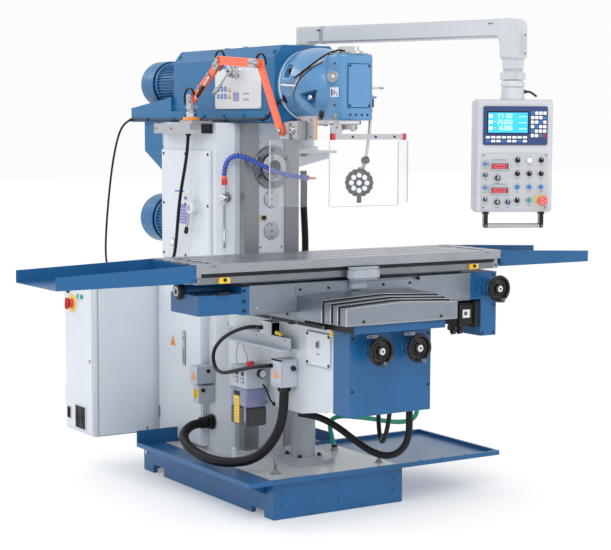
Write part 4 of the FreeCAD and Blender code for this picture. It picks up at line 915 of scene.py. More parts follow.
def knuckle_skin():
    """First swivel of the head: round flange, bulging neck with pockets for its nuts, inclined face."""
    shell = Sculpt("knuckle_shell")
    start, finish = Vector((0, -302, RAM_AXIS)), JOINT - FORWARD * 2
    steps = 10
    part = bmesh.new()
    rings = []
    for k in range(steps + 1):
        t = k / steps
        normal = Vector(BACK).lerp(-FORWARD, t).normalized()
        centre = start.lerp(finish, t) + Vector((0, 0, 10 * math.sin(math.pi * t)))
        radius = 156 + 6 * t + 5 * math.sin(math.pi * t)
        lift = normal.cross(Vector(RIGHT)).normalized()
        rings.append([part.verts.new(centre + Vector(RIGHT) * across + lift * up)
                      for across, up in around(56, radius)])
    bridge(part, rings)
    part.faces.new(rings[0])
    part.faces.new(rings[-1])
    shell.take(part, BLUE_CAST)
    window = Sculpt("knuckle_window").box((-220, 220), (-700, -301), (1700, 2200), BLUE_CAST, 0)
    pockets = Sculpt("knuckle_pockets")
    for side in (-1, 1):
        pockets.box((side * 128, side * 220), (-412, -356), (1934, 1992), BLUE_CAST, 0)
        pockets.box((side * 132, side * 220), (-352, -324), (1822, 1858), BLUE_CAST, 0)
    casting(shell, window, pockets, "knuckle", "head_knuckle")
    trim = Sculpt("knuckle_trim")
    trim.lathe([(-17, 157), (-15, 160), (-3, 160), (-0.6, 158)], (0, -301, RAM_AXIS), BACK, BLUE_CAST, 72)
    trim.lathe([(-0.4, 162.5), (0.6, 164.6), (14, 164.6), (15, 162)], JOINT - FORWARD * 0.9, -FORWARD,
               ALUMINIUM, 72)
    graduated_ring(trim, JOINT - FORWARD * 3, -FORWARD, 164.9, 10, 357, 119)
    trim.lathe([(-26, 158), (-24, 160.5), (-18, 160.5)], (0, -301, RAM_AXIS), BACK, PLATE, 72, close=False)
    graduated_ring(trim, (0, -318.5, RAM_AXIS), FRONT, 160.6, 7, 357, 119)
    for side in (-1, 1):
        for spot, radius in (((side * 130, -384, 1963), 11), ((side * 132, -338, 1840), 10)):
            trim.hex_nut(spot, (side, 0, 0), radius + 5, BLACK_BOLT, 12, 8)
            trim.lathe([(0, radius + 9), (2.5, radius + 9)], spot, (side, 0, 0), STEEL, 24)
    trim.done("knuckle")


def head_skin():
    """Spindle housing: a dome on the inclined joint that flows into an upright body with rounded corners."""
    shell = Sculpt("head_shell")
    dome = [(1, 164), (24, 165), (60, 157), (96, 142), (132, 122), (168, 98), (200, 66), (222, 30), (228, 0)]
    shell.lathe(dome, JOINT, FORWARD, BLUE_CAST, 64)
    outline = []
    half, radius = 92, 46
    for corner, (cx, cy) in enumerate(((1, 1), (-1, 1), (-1, -1), (1, -1))):
        for k in range(7):
            angle = math.radians(90 * corner + 15 * k)
            outline.append((cx * (half - radius) + radius * math.cos(angle),
                            QUILL + cy * (half - radius) + radius * math.sin(angle)))
    shell.prism(outline, "Z", 1740, 2033, BLUE_CAST, 6)
    window = Sculpt("head_window")
    reach = 700
    block = [JOINT + FORWARD * 1.5 + v for v in (Vector((0, -reach, reach)), Vector((0, reach, -reach)))]
    window.prism([(block[0].y, block[0].z), (block[1].y, block[1].z), (-1300, 1200), (-1300, 2600)], "X",
                 -172, 172, BLUE_CAST, 0)
    holes = Sculpt("head_pockets")
    holes.box((-300, 300), (-1200, 100), (1400, 1745.5), BLUE_CAST, 0)
    holes.box((-300, 300), (-1200, 100), (2033, 2300), BLUE_CAST, 0)
    for side in (-1, 1):
        corners = [(-582, 1878), (-486, 1858), (-556, 1792)]
        holes.prism(corners, "X", side * 106, side * 220, BLUE_CAST, 0)
    holes.lathe([(0, 56), (600, 56)], (0, QUILL, 1300), UP, BLUE_CAST, 48)
    casting(shell, window, holes, "head", "milling_head")
    trim = Sculpt("head_trim")
    trim.lathe([(0.4, 60), (2, 61), (14, 61), (17, 59), (17, 47)], (0, QUILL, 1728), UP, BLACK_MATTE, 48,
               close=False)
    trim.lathe([(0, 92), (3, 92.5), (6, 88), (6, 0)], (0, QUILL, 2031), UP, ALUMINIUM, 64, close=False)
    trim.lathe([(0, 58), (12, 58), (14, 56), (14, 46), (28, 46), (31, 43), (31, 0)], (0, -640, 2034), UP,
               CHROME, 56, close=False)
    for across, along in around(6, 70):
        trim.cap_screw((across, QUILL + along, 2036), UP, 5, BLACK_BOLT, 4)
    for side in (-1, 1):
        spot = Vector((side * 108, -544, 1846))
        trim.lathe([(-4, 15), (2, 15), (30, 13), (34, 10), (34, 0)], spot, (side, 0, 0), CHROME, 30)
        trim.lathe([(34.2, 6), (30, 6), (30, 0)], spot, (side, 0, 0), BLACK_BOLT, 6, close=False)
    glass = Vector((-84, -655, 1934))
    out = Vector((-0.82, -0.57, 0)).normalized()
    trim.lathe([(-10, 34), (12, 33), (18, 30), (20, 26)], glass, out, BLUE_CAST, 44)
    trim.lathe([(19, 25), (23, 24), (24, 20), (22, 18), (22, 0)], glass, out, STEEL, 40, close=False)
    trim.ball(glass + out * 14, 13.5, CHROME)
    trim.box((-94.5, -91), (-700, -636), (1846, 1888), PLATE, 1.2)
    trim.box((-95.2, -94), (-694, -686), (1852, 1864), PRINT_BLUE, 0.2, 1)
    trim.box((-95.2, -94), (-678, -662), (1858, 1874), PRINT_VIOLET, 0.2, 1)
    trim.box((-95.2, -94), (-656, -644), (1852, 1880), PRINT_DARK, 0.2, 1)
    for y, z in ((-668, 1990), (-668, 1812), (-600, 1812)):
        trim.cap_screw((-91.5, y, z), LEFT, 5, BLACK_BOLT, 3)
    for k in range(4):
        trim.cap_screw((-45 + 30 * k, -719.5, 1770), FRONT, 5, BLACK_BOLT, 3)
    trim.box((-60, 60), (-724, -719), (1800, 1990), BLUE_CAST, 2.5)
    trim.screws((-50, 50), -723.5, (1810, 1980), FRONT, 5, BLACK_BOLT, 3.5)
    trim.rod((80, -668, 1888), (162, -668, 1888), 5.5, CHROME)
    trim.rod((146, -700, 1888), (146, -636, 1888), 4.5, CHROME)
    trim.lathe([(0, 13), (6, 13), (10, 10), (12, 6.5)], (90, -668, 1888), RIGHT, STEEL, 28)
    trim.rod((-150, -430, 1898), (-186, -438, 1898), 6, CHROME)
    trim.rod((-184, -492, 1896), (-184, -384, 1902), 5, CHROME)
    for end in ((-184, -492, 1896), (-184, -384, 1902)):
        trim.ball(end, 6.5, CHROME)
    trim.box((84, 100), (-660, -620), (1800, 1852), BLUE_CAST, 2)
    trim.box((99, 136), (-660, -620), (1842, 1852), BLUE_CAST)
    trim.rod((118, -640, 1802), (118, -640, 1845), 5, STEEL)
    trim.hex_nut((118, -640, 1852), UP, 9, BLACK_BOLT, 7)
    trim.done("head")
    wire = Sculpt("head_cable")
    wire.tube([(-60, -700, 2041), (-74, -668, 2047), (-96, -610, 2030), (-126, -560, 1996),
               (-160, -500, 1950), (-178, -478, 1930)],
              4, BLACK_RUBBER, 12)
    wire.rod((-60, -703, 2041), (-44, -734, 2036), 4.5, CHROME, 1)
    wire.rod((-56, -712, 2040), (-52, -720, 2038), 7.5, CHROME, 1, 6)
    wire.done("head")


ram_details()
ram_edge_cable()
range_lever()
knuckle_skin()
head_skin()


# ---------------------------------------------------------------- control pendant

PENDANT = (756, -840)             # the pendant's upright axis
POST = (353, 256)                 # the post's upright axis, which its arm turns about
PENDANT_PLACE = Matrix.Translation((*PENDANT, 0)) @ Matrix.Rotation(math.radians(-27), 4, "Z")
FACE = -60          # front of the pendant's box, in its own frame

SEGMENTS = {"0": "abcdef", "1": "bc", "2": "abged", "3": "abgcd", "4": "fgbc", "5": "afgcd", "6": "afgedc",
            "7": "abc",
            "8": "abcdefg", "9": "abcdfg"}


def digits(piece, text, left, foot, height, front, material):
    """Seven-segment figures standing just proud of a display."""
    width, stroke = height * 0.5, height * 0.11
    places = {"a": (0, 1, 1), "g": (0, 0.5, 1), "d": (0, 0, 1), "f": (0, 0.5, 0), "b": (1, 0.5, 0),
              "e": (0, 0, 0), "c": (1, 0, 0)}
    at = left
    for mark in text:
        if mark == ".":
            piece.box((at - stroke, at), (front - 0.6, front + 0.2), (foot, foot + stroke), material, 0, 1)
            at += stroke * 1.5
            continue
        if mark == "-":
            piece.box((at, at + width), (front - 0.6, front + 0.2),
                      (foot + height / 2, foot + height / 2 + stroke), material, 0, 1)
        for name in SEGMENTS.get(mark, ""):
            across, up, level = places[name]
            x, z = at + across * width, foot + up * height
            if level:
                piece.box((at + stroke * 0.3, at + width - stroke * 0.3), (front - 0.6, front + 0.2),
                          (z - stroke / 2, z + stroke / 2),
                          material, 0, 1)
            else:
                piece.box((x - stroke / 2, x + stroke / 2), (front - 0.6, front + 0.2),
                          (z + stroke * 0.6, z + height / 2 - stroke * 0.6),
                          material, 0, 1)
        at += width * 1.55
    return piece


def key(piece, x, z, width, height, material, front):
    """A flat key with a plain mark."""
    piece.box((x - width / 2, x + width / 2), (front - 2.4, front + 0.5), (z - height / 2, z + height / 2),
              material, 0.8)
    piece.box((x - width * 0.22, x + width * 0.22), (front - 2.8, front - 2.2), (z - 0.7, z + 0.7),
              PRINT_DARK, 0)


def ringed(piece, x, z, radius, front):
    """Bright ring and seat that every button and knob of the panel stands in."""
    piece.lathe([(0, radius + 5), (3, radius + 5), (4.5, radius + 3.5), (4.5, radius)], (x, front, z), FRONT,
                CHROME, 28, close=False)
    piece.box((x - 9, x + 9), (front - 0.5, front + 0.2), (z - radius - 12.5, z - radius - 11), PRINT_DARK, 0)


def push_button(piece, x, z, material, front):
    """A round button in its ring."""
    radius, proud = 11, 8
    ringed(piece, x, z, radius, front)
    piece.lathe([(0, radius), (proud - 1.5, radius), (proud, radius - 1.5), (proud + 0.6, 0)], (x, front, z),
                FRONT, material, 28, close=False)


def turn_knob(piece, x, z, material, front, radius, cap=None):
    """A fluted knob with a pointer line in its ring."""
    ringed(piece, x, z, radius, front)
    flutes = bmesh.new()
    rings = []
    for along, share in ((0, 1), (11, 1), (14, 0.9), (15, 0.55)):
        rings.append([])
        for k, (across, up) in enumerate(around(36, radius * share)):
            dent = 1 - 0.06 * (k % 2)
            rings[-1].append(flutes.verts.new((x + across * dent, front - along, z + up * dent)))
    bridge(flutes, rings)
    flutes.faces.new(rings[-1])
    piece.take(flutes, material)
    if cap:
        piece.lathe([(14.6, radius * 0.55), (16, radius * 0.5), (16.4, 0)], (x, front, z), FRONT, cap, 20,
                    close=False)
    piece.box((x - 1, x + 1), (front - 16.8, front - 15), (z + 1, z + radius * 0.85), BUTTON_WHITE, 0)


def rotary(piece, x, z, front):
    """A switch with a black grip bar across a round seat."""
    ringed(piece, x, z, 12, front)
    piece.lathe([(0, 12), (6, 12), (7, 11), (7, 0)], (x, front, z), FRONT, BLACK_PLASTIC, 28, close=False)
    piece.box((x - 3.4, x + 3.4), (front - 16, front - 6), (z - 12, z + 12), BLACK_PLASTIC, 2)
    piece.box((x - 0.7, x + 0.7), (front - 16.5, front - 15.6), (z + 2, z + 11), BUTTON_WHITE, 0)


def pendant_skin():
    """Pendant box with its screen, keys, displays, buttons, knobs, handle bar and emergency stop."""
    piece = Sculpt("pendant_box_skin")
    piece.place = PENDANT_PLACE
    piece.box((-175, 175), (FACE + 10, 60), (1338, 1843), WHITE_SHEET_SHADED, 9, 3)
    piece.box((-173, 173), (FACE, FACE + 14), (1340, 1841), WHITE_SHEET_SHADED, 6, 3)
    piece.box((-158, 158), (56, 61), (1360, 1822), WHITE_SHEET_SHADED, 2)
    piece.screws((-146, 146), 60.5, (1374, 1592, 1808), BACK, 5, STEEL, 3)
    piece.lathe([(0, 56), (8, 56), (11, 53), (20, 52), (52, 51), (55, 49)], (0, 0, 1842), UP, WHITE_SHEET_SHADED, 48)
    piece.lathe([(0, 10), (6, 10), (8, 7), (18, 6)], (48, -8, 1878), (1, -0.15, 0), BLACK_PLASTIC, 20)
    piece.tube([(64, -10, 1878), (78, -12, 1876), (96, -16, 1864), (106, -18, 1856)], 5, BLACK_PLASTIC, 14)
    front = FACE - 13
    piece.box((-146, 146), (front, FACE + 1), (1640, 1812), BEZEL, 4)
    piece.box((-132, 60), (front - 1.2, front + 1), (1688, 1790), BLACK_MATTE, 1)
    piece.box((-126, 54), (front - 1.8, front), (1694, 1784), SCREEN, 0.6)
    for row, text in enumerate(("37.102", "25.000", "16.088")):
        z = 1764 - 27 * row
        piece.box((-122, -106), (front - 2.3, front - 1.6), (z - 3, z + 12), DIGIT, 0.3, 1)
        digits(piece, "-" if row else "", -98, z - 2, 15, front - 2.0, DIGIT)
        digits(piece, text, -82, z - 3, 17, front - 2.0, DIGIT)
        piece.box((14, 48), (front - 2.3, front - 1.6), (z + 1, z + 3), DIGIT, 0)
    for k in range(8):
        key(piece, -126 + 24 * k, 1674, 19, 10, BUTTON_WHITE, front)
        key(piece, -126 + 24 * k, 1657, 19, 10, BUTTON_WHITE if k % 3 else BUTTON_BLUE, front)
    for row in range(6):
        for column in range(4):
            if row == 5 and column > 1:
                continue
            key(piece, 76 + 18.5 * column, 1782 - 20 * row, 14.5, 14,
                BUTTON_WHITE if (row + column) % 4 else BUTTON_BLUE, front)
    key(piece, 113, 1682, 15, 12, BUTTON_GREEN, front)
    key(piece, 131, 1682, 15, 12, RED, front)
    panel = FACE - 4
    piece.box((-152, 152), (panel, FACE + 1), (1350, 1604), PANEL)
    piece.screws((-142, 142), panel, (1360, 1594), FRONT, 4.5, STEEL, 2.5)
    left = -106
    for foot in (1532, 1424):
        piece.box((left - 8, left + 82), (panel - 9, panel + 1), (foot - 6, foot + 32), PANEL, 3)
        piece.box((left - 2, left + 76), (panel - 9.8, panel - 8), (foot, foot + 26), LED_WINDOW, 0.8)
        digits(piece, "00000", left + 5, foot + 4, 17, panel - 9.9, LED)
        piece.box((left, left + 70), (panel - 0.6, panel + 0.2), (foot + 40, foot + 42), PRINT_DARK, 0)
    for z, tone in ((1556, BUTTON_BLUE), (1506, BLACK_PLASTIC), (1450, BUTTON_BLUE), (1396, BLACK_PLASTIC)):
        turn_knob(piece, -134, z, tone, panel, 10, BUTTON_BLUE if tone is BLACK_PLASTIC else None)
    for z in (1492, 1384):
        turn_knob(piece, -78, z, BLACK_PLASTIC, panel, 13, STEEL)
    turn_knob(piece, -30, 1384, BLACK_PLASTIC, panel, 11, BUTTON_BLUE)
    columns, rows = (12, 66, 120), (1572, 1512, 1452, 1392)
    rotary(piece, columns[0], rows[0], panel)
    push_button(piece, columns[1], rows[0], BUTTON_WHITE, panel)
    rotary(piece, columns[2], rows[0], panel)
    for x in columns:
        rotary(piece, x, rows[1], panel)
        push_button(piece, x, rows[2], BUTTON_BLUE, panel)
    rotary(piece, columns[0], rows[3], panel)
    push_button(piece, columns[1], rows[3], BUTTON_GREEN, panel)
    for left in (-136, 118):
        piece.box((left, left + 18), (FACE - 5, FACE + 38), (1268, 1338), BLACK_PLASTIC, 4)
        piece.box((left - 5, left + 23), (FACE - 1, FACE + 34), (1330, 1339), BLACK_PLASTIC, 2)
        piece.cap_screw((left + 9, FACE - 5, 1278), FRONT, 4, STEEL, 2)
    piece.rod((-132, FACE + 12, 1278), (134, FACE + 12, 1278), 10.5, ALUMINIUM, 1)
    piece.done("pendant", ("pendant_box",))

    stop = Sculpt("emergency_stop_skin")
    stop.place = PENDANT_PLACE
    base = (120, FACE - 22, 1392)
    stop.lathe([(0, 13), (12, 13), (16, 20), (19, 22), (31, 22), (35, 20), (37.6, 12), (38, 0)], base, FRONT,
               RED_SOFT, 40)
    for across, up in around(3, 11):
        spot = Vector(base) + Vector((across, -37.2, up))
        stop.box((spot.x - 3, spot.x + 3), (spot.y - 1, spot.y + 1), (spot.z - 1, spot.z + 1), BUTTON_WHITE,
                 0.3, 1)
    stop.done("stop_button", ("emergency_stop",))
    collar = Sculpt("emergency_stop_collar")
    collar.place = PENDANT_PLACE
    collar.lathe([(0, 24), (2, 24), (3, 22), (14, 20), (15.5, 18), (15.5, 14.5)], (120, panel, 1392), FRONT,
                 YELLOW, 40, close=False)
    collar.done("pendant")


def arm_skin():
    """Pendant arm: square tubes mitred at the corner, with separator rings, and a stepped drop neck."""
    piece = Sculpt("pendant_arm_skin")
    arm_height = 2161
    shoulder, elbow = Vector((*POST, arm_height)), Vector((*PENDANT, arm_height))
    along = (elbow - shoulder).normalized()
    turn = math.atan2(along.y, along.x)
    length = (elbow - shoulder).length
    piece.place = Matrix.Translation(shoulder) @ Matrix.Rotation(turn, 4, "Z")
    half = 42
    side = [(-half, -half), (half, -half), (half, half), (-half, half)]
    piece.prism(side, "X", 8, 120, WHITE_SHEET_SHADED, 11, 4)
    piece.prism(side, "X", 121, length - 62, WHITE_SHEET_SHADED, 11, 4)
    piece.prism([(y * 0.97, z * 0.97) for y, z in side], "X", 118, 123, WHITE_SHEET_SHADED, 9, 3)
    piece.prism([(y * 1.04, z * 1.04) for y, z in side], "X", length - 100, length - 40, WHITE_SHEET_SHADED, 11, 3)
    piece.prism(side, "X", length - 58, length - 4, WHITE_SHEET_SHADED, 11, 4)
    piece.box((96, 118), (-20, 20), (41.6, 44), PANEL, 0.6)
    for x in (102, 112, length - 100, length - 86):
        piece.cap_screw((x, -half, 22), FRONT, 4, BLACK_BOLT, 2.5)
        piece.cap_screw((x, half, 22), BACK, 4, BLACK_BOLT, 2.5)
    piece.place = Matrix.Translation(elbow) @ Matrix.Rotation(turn, 4, "Z")
    corner = [(-60, 43), (14, 43), (34, 38), (46, 18), (48, -2), (48, -138), (-48, -138), (-48, -62),
              (-60, -46)]
    piece.prism(corner, "Y", -47, 47, WHITE_SHEET_SHADED, 7, 3)
    piece.box((30, 49.2), (-30, 30), (-124, -20), PANEL, 2)
    piece.screws(49, 20, (-30, -112), RIGHT, 4, BLACK_BOLT, 2)
    piece.prism([(-38, -38), (38, -38), (38, 38), (-38, 38)], "Z", -190, -130, WHITE_SHEET_SHADED, 8, 3)
    piece.prism([(-47, -47), (47, -47), (47, 47), (-47, 47)], "Z", -244, -184, WHITE_SHEET_SHADED, 14, 4)
    piece.lathe([(0, 52), (2, 54), (20, 54), (28, 49)], (0, 0, -262), UP, WHITE_SHEET_SHADED, 56)
    piece.place = Matrix.Translation(shoulder)
    piece.lathe([(-44, 46), (-40, 50), (38, 50), (42, 47), (44, 40), (44, 0)], (0, 0, 0), UP, WHITE_SHEET_SHADED, 56)
    piece.lathe([(-44.5, 46), (-44.5, 51), (-36, 51), (-36, 49)], (0, 0, 0), UP, PANEL, 56, close=False)
    piece.done("pendant_swing_arm", ("pendant_arm",))


# ---------------------------------------------------------------- chip guard's arm

def pivot_bolt(piece, point, left, right):
    """Silver washers and a socket screw through a joint of the arm, across X."""
    radius = 15
    y, z = point
    piece.lathe([(0, radius), (3, radius), (4, radius - 1)], (left, y, z), LEFT, STEEL, 32)
    piece.cap_screw((left - 4, y, z), LEFT, 9, CHROME, 6)
    piece.lathe([(0, radius), (3, radius)], (right, y, z), RIGHT, STEEL, 32)
    piece.hex_nut((right + 3, y, z), RIGHT, 9, CHROME, 7)


def fork(piece, point, towards, low, high):
    """Two silver cheeks either side of a joint, round at the pivot and cut square towards the next piece."""
    plate, half, reach = 5, 21, 58
    direction = (towards - point).normalized()
    across = Vector((-direction.y, direction.x))
    outline = [point + direction * reach + across * half, point + across * half]
    for angle in range(20, 180, 20):
        turn = math.radians(angle)
        outline.append(point - direction * half * math.sin(turn) + across * half * math.cos(turn))
    outline += [point - across * half, point + direction * reach - across * half]
    corners = [(v.x, v.y) for v in outline]
    for start in (low - plate, high):
        piece.prism(corners, "X", start, start + plate, ALUMINIUM, 0.8)
    screw = point + direction * 42
    piece.cap_screw((low - plate, screw.x, screw.y), LEFT, 6, STEEL, 4)


def guard_arm_details():
    """Fittings of the guard's pole, links and carrier, and the rims of its clear sheets."""
    shoulder, elbow, wrist, hand = Vector((188, 1840)), Vector((-80, 2015)), Vector((-422,
                                                                                     1992)), Vector((-595,
                                                                                                     1699))
    pole = Sculpt("guard_pole_trim")
    pivot_bolt(pole, shoulder, -341.5, -305.5)
    pole.lathe([(0, 24), (3, 25), (20, 25), (23, 23)], (-320, 200, 1759.8), UP, CHROME, 40)
    pole.lathe([(0, 40.5), (3, 41), (13, 41), (16, 39)], (-320, 200, 1743.8), UP, AMBER, 48)
    pole.lathe([(0, 19.5), (10, 20), (26, 20), (28, 18)], (-320, 200, 1779), UP, STEEL, 40)
    pole.tube([(-332, 206, 1800), (-334, 238, 1826), (-334, 240, 1866), (-332, 212, 1894), (-331, 176, 1888),
               (-331, 158, 1866)],
              5, BLACK_RUBBER)
    pole.done("pole")

    low = Sculpt("guard_lower_trim")
    fork(low, elbow, shoulder, -329, -308)
    for share in (0.30, 0.62):
        spot = shoulder.lerp(elbow, share)
        low.box((-337, -326), (spot.x - 9, spot.x + 9), (spot.y - 13, spot.y + 13), ALUMINIUM, 2)
        low.cap_screw((-337, spot.x, spot.y), LEFT, 5, STEEL, 4)
    start, end = shoulder.lerp(elbow, 0.24), shoulder.lerp(elbow, 0.66)
    down = Vector((-0.2, -1)).normalized() * 30
    first, last = Vector((-336, start.x + down.x, start.y + down.y)), Vector((-336, end.x + down.x * 0.6,
                                                                              end.y + down.y * 0.6))
    low.rod(first, first.lerp(last, 0.58), 8.5, BLACK_MATTE)
    low.rod(first.lerp(last, 0.56), last, 4.5, CHROME)
    low.ball(first, 9, CHROME)
    low.ball(last, 8, CHROME)
    low.done("link_a")

    middle = Sculpt("guard_middle_trim")
    pivot_bolt(middle, elbow, -342.5, -302.5)
    fork(middle, wrist, elbow, -342, -314)
    arc = [(-326, elbow.x + 44 * math.cos(a), elbow.y + 44 * math.sin(a)) for a in (math.radians(-20 + 25 * k)
                                                                                    for k in range(8))]
    middle.tube(arc, 5, BLACK_RUBBER)
    middle.done("link_b")

    upper = Sculpt("guard_upper_trim")
    pivot_bolt(upper, wrist, -347, -309)
    arc = [(-316, wrist.x + 42 * math.cos(a), wrist.y + 42 * math.sin(a)) for a in (math.radians(-10 + 25 * k)
                                                                                    for k in range(9))]
    upper.tube(arc, 5, BLACK_RUBBER)
    upper.done("link_c")

    carrier = Sculpt("guard_carrier_skin")
    pivot_bolt(carrier, hand, -330.5, -302)
    carrier.box((-312.8, -302), (-650, -570), (1664, 1734), ALUMINIUM, 3)
    carrier.box((-303, -262), (-708, -612), (1664, 1742), ALUMINIUM, 5)
    carrier.lathe([(0, 19), (5, 19), (7, 17)], (-302, -664, 1704), LEFT, STEEL, 32)
    carrier.cap_screw((-309, -664, 1704), LEFT, 13, CHROME, 7)
    carrier.box((-262, -249), (-764, -640), (1662, 1763), ALUMINIUM, 2)
    carrier.box((-249, -241), (-764, -640), (1662, 1763), AMBER)
    carrier.screws(-262, (-746, -658), (1676, 1749), LEFT, 6, STEEL, 4)
    carrier.lathe([(0, 17), (10, 17), (12, 14), (48, 14), (50, 17), (60, 17)], (-242, -744, 1737), RIGHT,
                  ALUMINIUM, 36)
    carrier.rod((-185, -744, 1737), (-18, -744, 1737), 10, CHROME)
    carrier.lathe([(0, 17), (8, 17), (9, 15), (24, 15), (25, 17), (33, 17)], (-160, -744, 1737), RIGHT, STEEL,
                  36)
    carrier.lathe([(0, 6), (8, 6), (10, 11), (26, 12), (36, 10), (40, 0)], (-208, -744, 1749), UP,
                  BLACK_PLASTIC, 18)
    carrier.lathe([(0, 5), (8, 5), (10, 8), (18, 8), (20, 6)], (-140, -744, 1753), UP, STEEL, 18)
    plate = [(-168, 1664), (-112, 1664), (-112, 1712)]
    plate += [(-140 + 28 * math.cos(math.radians(a)), 1712 + 28 * math.sin(math.radians(a)))
              for a in range(20, 180, 20)]
    plate += [(-168, 1712)]
    carrier.prism(plate, "Y", -757, -749, ALUMINIUM, 0.8)
    carrier.screws((-156, -124), -757, 1680, FRONT, 5, STEEL, 4)
    carrier.cap_screw((-140, -757, 1716), FRONT, 6, STEEL, 4)
    carrier.box((-150, 206), (-762, -748), (1664, 1688), ALUMINIUM, 1.2)
    for ends in ((-168, -149), (205, 224)):
        carrier.box(ends, (-764, -746), (1662, 1690), RED)
    carrier.screws((-60, 60, 160), -762, 1676, FRONT, 5, BLACK_BOLT, 3)
    carrier.done("carrier", ("guard_carrier",))

    sheets = Sculpt("guard_panel_trim")
    for side in (-1, 1):
        sheets.rod((side * 180, -763, 1378), (side * 180, -763, 1658), 2.6, PANEL, 0.5, 12)
        sheets.rod((side * 365, -580, 1378), (side * 365, -580, 1658), 2.4, PANEL, 0.5, 12)
    sheets.box((-176, 176), (-767.2, -765.8), (1376.5, 1380), PANEL, 0.4, 1)
    sheets.done("carrier")


def lamp_skin():
    """Round work light: stem, clamp knob, ribbed silver back, and a scalloped front with nine lenses."""
    piece = Sculpt("work_lamp_skin")
    elbow, centre = Vector((98, -634, 1585)), Vector((67, -628, 1473))
    aim = Vector((-0.56, -0.82, -0.1)).normalized()
    piece.lathe([(0, 12), (2, 14), (36, 14), (38, 12)], (118, -640, 1803), UP, BLACK_MATTE, 32)
    piece.tube([(118, -640, 1806), (117, -640, 1760), (112, -638, 1690), (104, -635, 1620), elbow], 7, CHROME,
               20)
    piece.lathe([(0, 9), (3, 10), (10, 10), (12, 8)], (117, -640, 1782), UP, STEEL, 24)
    piece.rod(elbow - Vector((18, 0, 14)), elbow + Vector((12, 0, -14)), 15, BLACK_PLASTIC, 4, 24)
    piece.rod(elbow + Vector((0, 0, 4)), elbow - Vector((0, 0, 20)), 11, BLACK_MATTE, 2)
    piece.tube([elbow, (94, -630, 1556), (86, -620, 1534), centre - aim * 30 + Vector((0, 0, 56))], 9, STEEL,
               20)
    piece.lathe([(-46, 40), (-44, 46), (-38, 48), (-37, 44)], centre, aim, ALUMINIUM, 48)
    for k in range(5):
        at = -36 + 7 * k
        piece.lathe([(at, 48), (at + 0.5, 56), (at + 3.5, 56), (at + 4, 48)], centre, aim, ALUMINIUM, 60)
    piece.lathe([(-38, 49), (-4, 49)], centre, aim, ALUMINIUM, 48, close=False)
    along, aside, third = ortho(aim)
    front = bmesh.new()
    rings = []
    for depth, share in ((-6, 0.97), (-5, 1.0), (4, 1.0), (6, 0.96), (6, 0.86), (3, 0.84)):
        rings.append([])
        for k in range(96):
            turn = 2 * math.pi * k / 96
            reach = 62 * share * (1 + 0.035 * math.cos(16 * turn))
            outward = aside * math.cos(turn) + third * math.sin(turn)
            rings[-1].append(front.verts.new(centre + along * depth + outward * reach))
    bridge(front, rings)
    front.faces.new(rings[0])
    front.faces.new(rings[-1])
    piece.take(front, BLACK_PLASTIC)
    for across, up in [(0, 0), *around(8, 34)]:
        at = centre + aside * across + third * up
        piece.lathe([(2, 11.5), (7, 11.5), (7.5, 10.5), (5, 9.5)], at, aim, CHROME, 24, close=False)
        piece.lathe([(4, 10), (6.5, 7.5), (7.6, 4), (8, 0)], at, aim, LENS, 24, close=False)
    tail = centre - aim * 20
    piece.rod(tail - Vector((0, 0, 52)), tail - Vector((0, 0, 92)), 10.5, BLACK_PLASTIC, 3)
    piece.box((tail.x - 9, tail.x + 9), (tail.y - 12, tail.y + 12), (tail.z - 62, tail.z - 50), BLACK_PLASTIC,
              3)
    piece.done("lamp", ("work_lamp",))


pendant_skin()
arm_skin()
guard_arm_details()
lamp_skin()


# ---------------------------------------------------------------- handwheels

KNEE_WHEELS = 785                 # height of the two wheels on the knee's cover
WHEEL_ASIDE = 98                  # their distance from the middle
TABLE_WHEEL = (727, 984)          # across and height of the table's wheel


def handwheel_skin(node, x, face, height, body):
    """Black dished wheel with a bright hub, a graduated collar behind it, and a smoked crank grip."""
    piece = Sculpt(node + "_skin")
    centre, back = Vector((x, face, height)), BACK
    piece.lathe([(14, 0), (14, 24), (17, 36), (14, 44), (4, 47.5), (0.4, 51), (0, 55), (2.6, 60), (9, 62.4),
                 (15, 60.5), (18.4, 55),
                 (18, 47), (21, 38), (26, 26), (29, 0)], centre, back, BLACK_PLASTIC, 72, close=False)
    piece.lathe([(2, 0), (2, 20), (4, 22.5), (14, 24)], centre, back, BLACK_PLASTIC, 48, close=False)
    piece.lathe([(-2, 0), (-2, 11), (-0.4, 14.5), (2.4, 15)], centre, back, CHROME, 48, close=False)
    piece.lathe([(-3.6, 0), (-3.6, 3.6), (-1.8, 5)], centre, back, BLACK_BOLT, 24, close=False)
    piece.lathe([(26, 24), (26.5, 31), (28, 33.5), (46, 33.5), (47.5, 31.5), (50, 31.5), (52, 29.5),
                 (61.5, 29.5), (61.5, 0)],
                centre, back, ALUMINIUM, 64, close=False)
    graduated_ring(piece, centre + Vector((0, 46, 0)), FRONT, 33.7, 12, 354, 60)
    piece.rod(centre + Vector((0, 58, 0)), centre + Vector((0, 84, 0)), 16, STEEL)
    grip = centre + Vector((0, 6, -50))
    piece.lathe([(0, 6), (4, 6), (5, 9), (9, 11.5), (22, 12.4), (30, 10.5), (34, 6), (35, 0)], grip, FRONT,
                CRANK, 32, close=False)
    piece.lathe([(-4, 13), (1, 13), (3, 11)], grip, FRONT, BLACK_PLASTIC, 32, close=False)
    piece.done(body, (node,))


handwheel_skin("knee_handwheel", WHEEL_ASIDE, -1050, KNEE_WHEELS, "knee_wheel")
handwheel_skin("saddle_handwheel", -WHEEL_ASIDE, -1050, KNEE_WHEELS, "saddle_wheel")
handwheel_skin("table_handwheel", TABLE_WHEEL[0], -810, TABLE_WHEEL[1], "table_wheel")


# ---------------------------------------------------------------- knee

